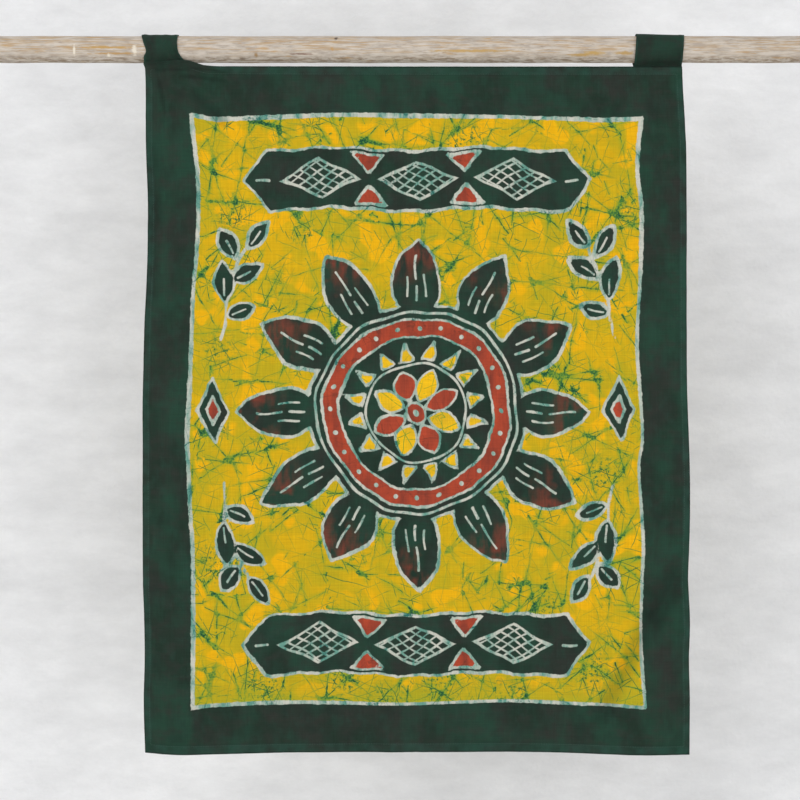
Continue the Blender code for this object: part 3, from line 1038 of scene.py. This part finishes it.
def star_cracks(add_to, place, spacing, reach, rays, blot, share):
    """Bursts of straight cracks round a blot, in some of the cells of that spacing."""
    cells = add_to("TexVoronoi", {"Vector": place, "Scale": 1 / spacing}, 1, feature="F1")
    random = add_to("SeparateColor", {0: cells})
    apart = add_to("VectorMath", {0: place, 1: cells.node.outputs["Position"]}, operation="SUBTRACT")
    away = add_to("VectorMath", {0: apart}, 1, operation="LENGTH")
    split = add_to("SeparateXYZ", {0: apart}).node.outputs
    angle = add_to("Math", {0: split[1], 1: split[0]}, operation="ARCTAN2")
    turns = add_to("Math", {0: angle, 1: rays / (2 * math.pi), 2: random}, operation="MULTIPLY_ADD")
    local = add_to("Math", {0: turns, 1: 0.5, 2: -0.5}, operation="WRAP")
    ray = add_to("Math", {0: turns, 1: local}, operation="SUBTRACT")
    pair = add_to("CombineXYZ", {0: ray, 1: random})
    chance = add_to("TexWhiteNoise", {0: pair})
    other = add_to("SeparateColor", {0: chance.node.outputs[1]})
    aim = add_to("Math", {0: chance, 1: 0.7, 2: -0.35}, operation="MULTIPLY_ADD")
    off = add_to("Math", {0: local, 1: aim}, operation="SUBTRACT")
    wide = add_to("Math", {0: off, 1: away}, operation="MULTIPLY")
    gap = add_to("Math", {0: wide}, operation="ABSOLUTE")
    shorter = add_to("Math", {0: other, 1: reach * 0.7, 2: away}, operation="MULTIPLY_ADD")
    fade = add_to("MapRange", {0: shorter, 1: reach * 0.5, 2: reach, 3: 1, 4: 0})
    scale = rays / (2 * math.pi)
    line = add_to("MapRange", {0: gap, 1: 0.3 * scale, 2: 0.95 * scale, 3: fade, 4: 0})
    ragged = add_to("TexNoise", {"Vector": place, "Scale": 1 / 2.4, "Detail": 2})
    edge = add_to("Math", {0: ragged, 1: 9.0, 2: away}, operation="MULTIPLY_ADD")
    spot = add_to("MapRange", {0: edge, 1: blot + 3, 2: blot + 5.5, 3: 1, 4: 0})
    there = add_to("Math", {0: random, 1: share}, operation="LESS_THAN")
    both = larger(add_to, [line, spot])
    return add_to("Math", {0: both, 1: there}, operation="MULTIPLY")


def crackle(add_to, cloth, design):
    """Share of dark dye in the wax's cracks, and the haze of dye round them."""
    place = cloth
    for size, reach in ((46, 10.0), (6, 1.0)):
        waver = add_to("TexNoise", {"Vector": cloth, "Scale": 1 / size, "Detail": 2}, 1)
        centred = add_to("VectorMath", {0: waver, 1: (0.5, 0.5, 0.5)}, operation="SUBTRACT")
        offset = add_to("VectorMath", {0: centred, "Scale": reach}, operation="SCALE")
        place = add_to("VectorMath", {0: place, 1: offset}, operation="ADD")
    spots = []
    for across, up, reach in SEEP_SPOTS:
        away = add_to("VectorMath", {0: design, 1: (across, up, 0)}, 1, operation="DISTANCE")
        spots.append(add_to("MapRange", {0: away, 1: reach * 0.2, 2: reach, 3: 1, 4: 0}))
    patches = add_to("TexNoise", {"Vector": cloth, "Scale": 1 / 75, "Detail": 2})
    broken = add_to("MapRange", {0: patches, 1: 0.44, 2: 0.64, 3: 0.28, 4: 0.95})
    seeped = larger(add_to, spots)
    broken = larger(add_to, [broken, seeped])
    swelling = add_to("TexNoise", {"Vector": cloth, "Scale": 1 / 17, "Detail": 2})
    thinner = add_to("MapRange", {0: swelling, 1: 0.36, 2: 0.64, 3: 2.2, 4: 0.72})
    cores, halos = zip(*(cracks_one_way(add_to, place, thinner, *row) for row in CRACKS))
    hairs = larger(add_to, [cracks_one_way(add_to, place, 1.0, *row)[0] for row in HAIR_CRACKS])
    hair = add_to("Math", {0: hairs, 1: broken}, operation="MULTIPLY")
    halo = added(add_to, halos)
    ragged = add_to("TexNoise", {"Vector": cloth, "Scale": 1 / 3.4, "Detail": 2})
    crossing = add_to("Math", {0: ragged, 1: 1.7, 2: halo}, operation="MULTIPLY_ADD")
    crossing = add_to("Math", {0: broken, 1: 0.40, 2: crossing}, operation="MULTIPLY_ADD")
    blot = add_to("MapRange", {0: crossing, 1: 2.38, 2: 2.85})
    stars = [star_cracks(add_to, place, *row) for row in CRACK_STARS]
    main = larger(add_to, list(cores) + stars + [blot])
    uneven = add_to("TexNoise", {"Vector": cloth, "Scale": 1 / 15, "Detail": 3})
    inked = add_to("MapRange", {0: uneven, 1: 0.36, 2: 0.60, 3: 0.42, 4: 1.0})
    grain = add_to("TexNoise", {"Vector": cloth, "Scale": 1 / 2.6, "Detail": 2})
    gaps = add_to("MapRange", {0: grain, 1: 0.36, 2: 0.58, 3: 0.45, 4: 1.0})
    fresh = add_to("MapRange", {0: broken, 1: 0.3, 2: 0.8, 3: 0.58, 4: 1.0})
    for share in (inked, gaps, fresh):
        main = add_to("Math", {0: main, 1: share}, operation="MULTIPLY")
    specks = add_to("MapRange", {0: grain, 1: 0.57, 2: 0.70})
    spread = add_to("Math", {0: halo, 1: broken}, operation="MULTIPLY")
    near = add_to("MapRange", {0: spread, 1: 0.25, 2: 1.1, 3: 0, 4: 0.8})
    specks = add_to("Math", {0: specks, 1: near}, operation="MULTIPLY")
    tangle = add_to("TexNoise", {"Vector": cloth, "Scale": 1 / 5, "Detail": 5, "Roughness": 0.7})
    tangled = add_to("MapRange", {0: tangle, 1: 0.50, 2: 0.66})
    core = add_to("MapRange", {0: seeped, 1: 0.50, 2: 1.0, 3: 0.0, 4: 0.85})
    tangled = add_to("Math", {0: tangled, 1: core}, operation="MULTIPLY")
    hair = add_to("Math", {0: hair, 1: 0.68}, operation="MULTIPLY")
    haze = add_to("MapRange", {0: spread, 1: 0.05, 2: 1.1, 3: 0.08, 4: 0.85})
    return larger(add_to, [main, hair, specks, tangled]), haze


def stroke_gap(add_to, across, along, start, end):
    """Distance to a stroke that lies on the axis from start to end."""
    before = add_to("Math", {0: start, 1: along}, operation="SUBTRACT")
    after = add_to("Math", {0: along, 1: end}, operation="SUBTRACT")
    beyond = larger(add_to, [before, after, 0.0])
    pair = add_to("CombineXYZ", {0: across, 1: beyond})
    return add_to("VectorMath", {0: pair}, 1, operation="LENGTH")


def sector(add_to, radius, angle, count):
    """Place across and along the nearest of count axes. A negative count puts them half a step
    round."""
    shift = 0.0 if count > 0 else 0.5
    step = 2 * math.pi / abs(count)
    turns = add_to("Math", {0: angle, 1: 1 / step, 2: shift}, operation="MULTIPLY_ADD")
    local = add_to("Math", {0: turns, 1: 0.5, 2: -0.5}, operation="WRAP")
    turn = add_to("Math", {0: local, 1: step}, operation="MULTIPLY")
    sides = [add_to("Math", {0: turn}, operation=kind) for kind in ("SINE", "COSINE")]
    return [add_to("Math", {0: radius, 1: side}, operation="MULTIPLY") for side in sides]


def thinned(add_to, gap, half_width):
    """Signed distance to a stroke of that half width."""
    return add_to("Math", {0: gap, 1: half_width}, operation="SUBTRACT")


def waxed_strokes(add_to, design, gaps):
    """Signed distance to the open strokes, rings and dots drawn in wax, joined to those given."""
    split = add_to("SeparateXYZ", {0: design}).node.outputs
    radius = add_to("VectorMath", {0: design}, 1, operation="LENGTH")
    angle = add_to("Math", {0: split[0], 1: split[1]}, operation="ARCTAN2")
    for ring, half_width in WAX_RINGS:
        beside = add_to("Math", {0: radius, 1: ring}, operation="SUBTRACT")
        gaps.append(thinned(add_to, add_to("Math", {0: beside}, operation="ABSOLUTE"), half_width))
    for ring, count, size in WAX_DOTS:
        across, along = sector(add_to, radius, angle, count)
        gaps.append(thinned(add_to, stroke_gap(add_to, across, along, ring, ring), size))
    across, along = sector(add_to, radius, angle, PETALS)
    across = add_to("Math", {0: across}, operation="ABSOLUTE")
    for off, start, end, half_width in PETAL_STROKES:
        beside = add_to("Math", {0: across, 1: off}, operation="SUBTRACT")
        gaps.append(thinned(add_to, stroke_gap(add_to, beside, along, start, end), half_width))
    away = add_to("Math", {0: split[0]}, operation="ABSOLUTE")
    height = add_to("Math", {0: add_to("Math", {0: split[1]}, operation="ABSOLUTE"), 1: BAND_HEIGHT}, operation="SUBTRACT")
    gaps.append(thinned(add_to, stroke_gap(add_to, height, away, 192, 208), 1.7))
    folded = add_to("Math", {0: split[0], 1: LOZENGE_SPACING / 2, 2: -LOZENGE_SPACING / 2}, operation="WRAP")
    wide = add_to("Math", {0: add_to("Math", {0: folded}, operation="ABSOLUTE"), 1: LOZENGE[0]}, operation="DIVIDE")
    tall = add_to("Math", {0: add_to("Math", {0: height}, operation="ABSOLUTE"), 1: LOZENGE[1]}, operation="DIVIDE")
    slope = LOZENGE[0] * LOZENGE[1] / math.hypot(*LOZENGE)
    share = add_to("Math", {0: wide, 1: tall}, operation="ADD")
    inner = add_to("Math", {0: share, 1: slope, 2: -slope}, operation="MULTIPLY_ADD")
    outer = add_to("Math", {0: away, 1: 1.5 * LOZENGE_SPACING}, operation="SUBTRACT")
    lozenge = larger(add_to, [inner, outer])
    edge = add_to("Math", {0: lozenge}, operation="ABSOLUTE")
    gaps.append(thinned(add_to, edge, 1.6))
    for turn in (33, -33):
        turned = add_to("Mapping", {"Vector": design, "Rotation": (0, 0, math.radians(turn))})
        folded = add_to("Math", {0: add_to("SeparateXYZ", {0: turned}, 1), 1: 5.0}, operation="PINGPONG")
        gaps.append(larger(add_to, [thinned(add_to, folded, 1.1), lozenge]))
    return smaller(add_to, gaps)


def batik_cotton(flat):
    """Plain-woven cotton, wax-resist dyed in yellow, rust and dark green. The wax's cracks and its
    brushed edges give it a lively, uneven print on a matt, slightly slubby cloth."""
    material, add_to, shader = new_material("batik_cotton", 0.88)
    cloth = cloth_mm(add_to, flat)
    names = ("green", "rust", "gold", "frame", "stem", "leaf_across", "leaf_along", "design_x", "design_y")
    field = {name: add_to("Attribute", out=2, attribute_name=name) for name in names}
    design = add_to("CombineXYZ", {0: field["design_x"], 1: field["design_y"]})
    edge = add_to("TexNoise", {"Vector": cloth, "Scale": 1 / 9, "Detail": 2})
    waver = add_to("MapRange", {0: edge, 1: 0.2, 2: 0.8, 3: -1.2, 4: 1.2})
    dark = add_to("Math", {0: field["frame"], 1: -1.0}, operation="MULTIPLY")
    dark = smaller(add_to, [field["green"], dark])
    shape = {"green": dark, "rust": field["rust"], "gold": field["gold"], "frame": field["frame"]}
    shape = {name: add_to("Math", {0: value, 1: waver}, operation="ADD") for name, value in shape.items()}
    inside = {
        name: add_to("MapRange", {0: shape[name], 1: -0.4, 2: 0.4, 3: 1, 4: 0})
        for name in ("green", "rust", "gold")
    }
    dye, haze = crackle(add_to, cloth, design)
    foot = add_to("MapRange", {0: field["design_y"], 1: -338, 2: -374, 3: 0.0, 4: 0.6})
    haze = larger(add_to, [haze, foot])

    sun = add_to("TexNoise", {"Vector": cloth, "Scale": 1 / 52, "Detail": 3, "Roughness": 0.6})
    warm = add_to("MapRange", {0: sun, 1: 0.42, 2: 0.58})
    yellow = add_to("Mix", {0: warm, 6: linear("#B09811"), 7: linear("#C89D06")}, 2, data_type="RGBA")
    moved = add_to("Mapping", {"Vector": cloth, "Location": (400, 150, 0)})
    dabs = add_to("TexNoise", {"Vector": moved, "Scale": 1 / 38, "Detail": 1})
    bright = add_to("MapRange", {0: dabs, 1: 0.57, 2: 0.62})
    yellow = add_to("Mix", {0: bright, 6: yellow, 7: linear("#DBA200")}, 2, data_type="RGBA")
    yellow = add_to("Mix", {0: haze, 6: yellow, 7: linear("#879320")}, 2, data_type="RGBA")
    light = add_to("MapRange", {0: dye, 1: 0.0, 2: 0.5})
    deep = add_to("MapRange", {0: dye, 1: 0.30, 2: 0.80})
    yellow = add_to("Mix", {0: light, 6: yellow, 7: linear("#50812F")}, 2, data_type="RGBA")
    yellow = add_to("Mix", {0: deep, 6: yellow, 7: linear("#10442F")}, 2, data_type="RGBA")

    green = dark_green(add_to, cloth)
    brush = add_to("Mapping", {"Vector": cloth, "Scale": (1, 0.3, 1)})
    stroke = add_to("TexNoise", {"Vector": brush, "Scale": 1 / 14, "Detail": 4})
    thin = add_to("MapRange", {0: stroke, 1: 0.35, 2: 0.65})
    rust = add_to("Mix", {0: thin, 6: linear("#A34028"), 7: linear("#7E3526")}, 2, data_type="RGBA")
    faint = add_to("MapRange", {0: dye, 1: 0.1, 2: 0.9, 4: 0.7})
    rust = add_to("Mix", {0: faint, 6: rust, 7: linear("#4F2B22")}, 2, data_type="RGBA")
    from_middle = add_to("VectorMath", {0: design}, 1, operation="LENGTH")
    tips = add_to("MapRange", {0: from_middle, 1: 165, 2: 205, 4: 0.9})
    within = add_to("MapRange", {0: from_middle, 1: 236, 2: 240, 3: 1, 4: 0})
    blush = add_to("MapRange", {0: sun, 1: 0.44, 2: 0.56})
    washed = tips
    for share in (within, blush, add_to("MapRange", {0: stroke, 1: 0.40, 2: 0.58})):
        washed = add_to("Math", {0: washed, 1: share}, operation="MULTIPLY")
    green = add_to("Mix", {0: washed, 6: green, 7: linear("#6B3528")}, 2, data_type="RGBA")
    gold = add_to("Mix", {0: warm, 6: linear("#C8A01A"), 7: linear("#DDAD12")}, 2, data_type="RGBA")
    gold = add_to("Mix", {0: light, 6: gold, 7: linear("#6F8A2A")}, 2, data_type="RGBA")

    colour = add_to("Mix", {0: inside["green"], 6: yellow, 7: green}, 2, data_type="RGBA")
    colour = add_to("Mix", {0: inside["rust"], 6: colour, 7: rust}, 2, data_type="RGBA")
    colour = add_to("Mix", {0: inside["gold"], 6: colour, 7: gold}, 2, data_type="RGBA")

    broad = add_to("TexNoise", {"Vector": cloth, "Scale": 1 / 160, "Detail": 1})
    low_right = add_to("Math", {0: field["design_x"], 1: field["design_y"]}, operation="SUBTRACT")
    narrower = add_to("MapRange", {0: low_right, 1: 60, 2: 480, 3: 1.1, 4: 0.62})
    outlines = []
    for name, thinnest, widest in (("green", 1.4, 2.3), ("rust", 1.3, 2.1), ("gold", 1.2, 2.0), ("frame", 2.0, 3.1)):
        half_width = add_to("MapRange", {0: broad, 1: 0.35, 2: 0.65, 3: thinnest, 4: widest})
        gap = add_to("Math", {0: shape[name]}, operation="ABSOLUTE")
        if name == "frame":
            half_width = add_to("Math", {0: half_width, 1: narrower}, operation="MULTIPLY")
        outlines.append(add_to("Math", {0: gap, 1: half_width}, operation="SUBTRACT"))
    outside = add_to("Math", {0: -0.6, 1: shape["green"]}, operation="SUBTRACT")
    stem = larger(add_to, [thinned(add_to, field["stem"], STEM_HALF_WIDTH), outside])
    start, end, half_width = LEAF_STROKE
    vein = stroke_gap(add_to, field["leaf_across"], field["leaf_along"], start, end)
    well_in = add_to("Math", {0: shape["green"], 1: 3.2}, operation="ADD")
    vein = larger(add_to, [thinned(add_to, vein, half_width), well_in])
    strokes = waxed_strokes(add_to, design, [stem, vein])
    strokes = add_to("Math", {0: waver, 1: 0.45, 2: strokes}, operation="MULTIPLY_ADD")
    waxed = add_to("MapRange", {0: smaller(add_to, outlines + [strokes]), 1: -0.45, 2: 0.45, 3: 1, 4: 0})
    stain_place = add_to("Mapping", {"Vector": cloth, "Rotation": (0, 0, 0.7), "Scale": (1, 0.35, 1)})
    stain = add_to("TexNoise", {"Vector": stain_place, "Scale": 1 / 17, "Detail": 4, "Roughness": 0.6})
    teal = add_to("MapRange", {0: stain, 1: 0.42, 2: 0.62, 4: 0.9})
    white = add_to("Mix", {0: teal, 6: linear("#B6B6AA"), 7: linear("#528A7B")}, 2, data_type="RGBA")
    soaked = add_to("MapRange", {0: added(add_to, [teal, dye, dye]), 1: 0.7, 2: 2.2})
    white = add_to("Mix", {0: soaked, 6: white, 7: linear("#1F6058")}, 2, data_type="RGBA")
    colour = add_to("Mix", {0: waxed, 6: colour, 7: white}, 2, data_type="RGBA")
    # Painted shade: the cloth's colour darkens to 0.70 in the troughs of the folds and wrinkles and in the bunched
    # corner.
    shaded = add_to("Attribute", out=2, attribute_name="shaded")
    painted_fold_shade = add_to("MapRange", {0: shaded, 1: 0.3, 2: 1.0, 3: 1.0, 4: 0.70})
    colour = add_to("HueSaturation", {"Value": painted_fold_shade, "Color": colour})
    cotton_surface(material, add_to, shader, cloth, colour)
    return material


def green_cotton(flat):
    """The border's dark green cotton, for the loops, made a little darker."""
    material, add_to, shader = new_material("green_cotton", 0.88)
    cloth = cloth_mm(add_to, flat)
    colour = add_to("HueSaturation", {"Value": 0.87, "Color": dark_green(add_to, cloth)})
    cotton_surface(material, add_to, shader, cloth, colour)
    return material


# Ochre smears, blobs of lime, nicks and knots that show on the front of the pole
POLE_MARKS = (
    # place, height, half length, half height in millimetres, colour
    (-401.5, -0.3, 46.0, 2.2, "#AF8B50"),
    (-388.5, -7.8, 38.0, 1.9, "#AD8A58"),
    (73.0, -4.7, 70.0, 2.2, "#B29159"),
    (211.0, -9.8, 17.0, 2.4, "#AD8D56"),
    (230.0, -7.6, 18.0, 3.6, "#B08F52"),
    (269.0, -7.4, 17.0, 2.8, "#AD8D56"),
    (-442.0, -3.5, 2.0, 8.0, "#D8CFBF"),
    (-397.5, -9.9, 2.8, 3.0, "#D8CFBF"),
    (-364.0, -3.5, 4.0, 8.0, "#D8CFBF"),
    (-103.5, 12.0, 3.2, 2.6, "#43352A"),
    (-149.0, -8.4, 18.0, 1.5, "#7C6253"),
    (-207.0, -9.4, 3.0, 3.4, "#95774F"),
    (-225.0, -13.9, 5.5, 1.3, "#5B4634"),
    (-108.5, -2.6, 2.6, 2.6, "#B08C5C"),
)


def limed_wood():
    """Limed softwood: a pole brushed with thin white lime. Tan grain shows through it in streaks,
    and it is grey-brown and darker along its underside, with a few dark nicks."""
    material, add_to, shader = new_material("limed_wood", 0.78)
    place = add_to("TexCoord", out=3)
    mm = add_to("Mapping", {"Vector": place, "Scale": (1000, 1000, 1000)})

    def grain(length, width, seed, detail=3):
        scale = (1 / length, 1 / width, 1 / width)
        moved = add_to("Mapping", {"Vector": mm, "Scale": scale, "Location": (seed, seed, seed)})
        return add_to("TexNoise", {"Vector": moved, "Scale": 1, "Detail": detail, "Roughness": 0.6})

    lime = grain(19, 3.6, 3)
    cover = add_to("MapRange", {0: lime, 1: 0.36, 2: 0.60})
    colour = add_to("Mix", {0: cover, 6: linear("#A3988C"), 7: linear("#C0B6AA")}, 2, data_type="RGBA")
    streaks = grain(42, 1.5, 9, 3)
    tan = add_to("MapRange", {0: streaks, 1: 0.50, 2: 0.60, 4: 0.95})
    height = add_to("SeparateXYZ", {0: mm}, 2)
    upper = add_to("MapRange", {0: height, 1: -9.0, 2: -3.0, 3: 0.30, 4: 1.0})
    tan = add_to("Math", {0: tan, 1: upper}, operation="MULTIPLY")
    colour = add_to("Mix", {0: tan, 6: colour, 7: linear("#AA8F6C")}, 2, data_type="RGBA")
    ochre = add_to("MapRange", {0: grain(34, 5, 17, 2), 1: 0.62, 2: 0.72, 4: 0.7})
    colour = add_to("Mix", {0: ochre, 6: colour, 7: linear("#B08A50")}, 2, data_type="RGBA")
    pores = add_to("MapRange", {0: grain(11, 1.5, 29, 2), 1: 0.64, 2: 0.76, 4: 0.75})
    colour = add_to("Mix", {0: pores, 6: colour, 7: linear("#7E6B57")}, 2, data_type="RGBA")
    # Grey-brown and darker along the underside, mottled.
    low = add_to("MapRange", {0: height, 1: -10.0, 2: -13.5})
    underside_mottle = add_to("MapRange", {0: grain(11, 3, 41), 1: 0.46, 2: 0.60, 4: 0.8})
    darker_underside = add_to("Math", {0: low, 1: underside_mottle}, operation="MULTIPLY")
    colour = add_to("Mix", {0: darker_underside, 6: colour, 7: linear("#7C6A53")}, 2, data_type="RGBA")
    chipped = grain(7, 2.2, 61, 2)
    for along, up, half_length, half_height, shade in POLE_MARKS:
        scale = Vector((1 / half_length, 1 / POLE_RADIUS * MM, 1 / half_height))
        offset = Vector((-along, POLE_RADIUS / MM, -up)) * scale
        local = add_to("Mapping", {"Vector": mm, "Scale": scale, "Location": offset})
        away = add_to("VectorMath", {0: local}, 1, operation="LENGTH")
        ragged = add_to("Math", {0: chipped, 1: 1.6, 2: away}, operation="MULTIPLY_ADD")
        mark = add_to("MapRange", {0: ragged, 1: 1.2, 2: 1.8, 3: 0.95, 4: 0})
        colour = add_to("Mix", {0: mark, 6: colour, 7: linear(shade)}, 2, data_type="RGBA")
    fine = grain(70, 1.3, 51, 3)
    rough = add_to("Bump", {"Strength": 0.5, "Distance": 0.0012, "Height": lime})
    bump = add_to("Bump", {"Strength": 0.5, "Distance": 0.0004, "Height": fine, "Normal": rough})
    tree = material.node_tree
    tree.links.new(colour, shader.inputs["Base Color"])
    tree.links.new(bump, shader.inputs["Normal"])
    return material


def one_sided_wall():
    """The backdrop's plaster. Its back is clear, so that the hanging shows from behind too."""
    material, add_to, shader = new_material("pale_wall", 0.95)
    place = add_to("TexCoord", out=3)
    brushed = add_to("Mapping", {"Vector": place, "Scale": (0.6, 1, 1.4)})
    patches = add_to("TexNoise", {"Vector": brushed, "Scale": 11, "Detail": 7, "Roughness": 0.68})
    worn = add_to("MapRange", {0: patches, 1: 0.36, 2: 0.66})
    paint = add_to("Mix", {0: worn, 6: linear("#E9E9EA"), 7: linear("#DADADB")}, 2, data_type="RGBA")
    grit = add_to("TexNoise", {"Vector": place, "Scale": 160, "Detail": 3})
    bump = add_to("Bump", {"Strength": 0.5, "Distance": 0.002, "Height": grit})
    tree = material.node_tree
    tree.links.new(paint, shader.inputs["Base Color"])
    tree.links.new(bump, shader.inputs["Normal"])
    behind = add_to("NewGeometry", out=6)
    clear = add_to("BsdfTransparent")
    mixed = add_to("MixShader", {0: behind, 1: shader.outputs[0], 2: clear})
    tree.links.new(mixed, tree.nodes["Material Output"].inputs["Surface"])
    return material


WALL_Y = 0.45
WALL_SIZE = 9.0
FLOOR_Z = -1.75


def make_stage():
    """A pale wall close behind the hanging, a pale floor, and soft studio light."""
    wall = bmesh.new()
    turn = Matrix.Translation((0, WALL_Y, 0)) @ Matrix.Rotation(math.radians(90), 4, "X")
    bmesh.ops.create_grid(wall, x_segments=1, y_segments=1, size=WALL_SIZE / 2, matrix=turn)
    floor = bmesh.new()
    lowered = Matrix.Translation((0, 0, FLOOR_Z))
    bmesh.ops.create_grid(floor, x_segments=1, y_segments=1, size=WALL_SIZE / 2, matrix=lowered)
    pale = new_material("pale_floor", 0.9)
    pale[2].inputs["Base Color"].default_value = linear("#D6D6D4")
    for name, shape, material in (("wall", wall, one_sided_wall()), ("floor", floor, pale[0])):
        mesh = bpy.data.meshes.new(name)
        shape.to_mesh(mesh)
        shape.free()
        piece = show(mesh)
        piece.data.materials.append(material)
        piece.visible_shadow = name == "floor"

    world = bpy.data.worlds.new("soft room")
    world.use_nodes = True
    background = world.node_tree.nodes["Background"]
    background.inputs["Color"].default_value = linear("#F4F5F7")
    background.inputs["Strength"].default_value = 0.86
    bpy.context.scene.world = world
    for name, place, size, power in (
        ("key", (-1.7, -3.0, 0.8), 2.4, 46),
        ("fill", (1.2, -2.7, -1.6), 2.8, 52),
        ("back", (0.6, 2.6, 1.2), 2.4, 26),
    ):
        lamp = bpy.data.lights.new(name, "AREA")
        lamp.size, lamp.energy = size, power
        light = bpy.data.objects.new(name, lamp)
        light.location = place
        aim = Vector((0, 0, -0.45)) - light.location
        light.rotation_euler = aim.to_track_quat("-Z", "Y").to_euler()
        bpy.context.scene.collection.objects.link(light)


def dress(piece, node, material):
    """A piece stands for its CAD node, with its finish."""
    piece.data.materials.append(material)
    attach(piece, "root")
    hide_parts(node)


def green_thread():
    """Dark green sewing thread, a shade lighter than the cloth."""
    material, _, shader = new_material("green_thread", 0.75)
    shader.inputs["Base Color"].default_value = linear("#27433A")
    return material


def main():
    """Makes the camera, the pieces and the stage."""
    bpy.context.scene.view_settings.view_transform = "Standard"
    make_camera()
    panel, panel_flat = make_panel()
    dress(panel, "panel", batik_cotton(panel_flat))
    pole = make_pole()
    dress(pole, "pole", limed_wood())
    stitches = make_stitches()
    stitches.data.materials.append(green_thread())
    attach(stitches, "root")
    left, left_flat = make_loop("loop_left_cloth", LEFT_LOOP_EDGES, LEFT_PLEATS, 0.6, (62, 28), (-0.0005, -0.0090))
    right, right_flat = make_loop("loop_right_cloth", RIGHT_LOOP_EDGES, RIGHT_PLEATS, 0.0, (38, 38), (-0.0010, -0.0040))
    dress(left, "loop_left", green_cotton(left_flat))
    dress(right, "loop_right", green_cotton(right_flat))
    make_stage()
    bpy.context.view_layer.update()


main()
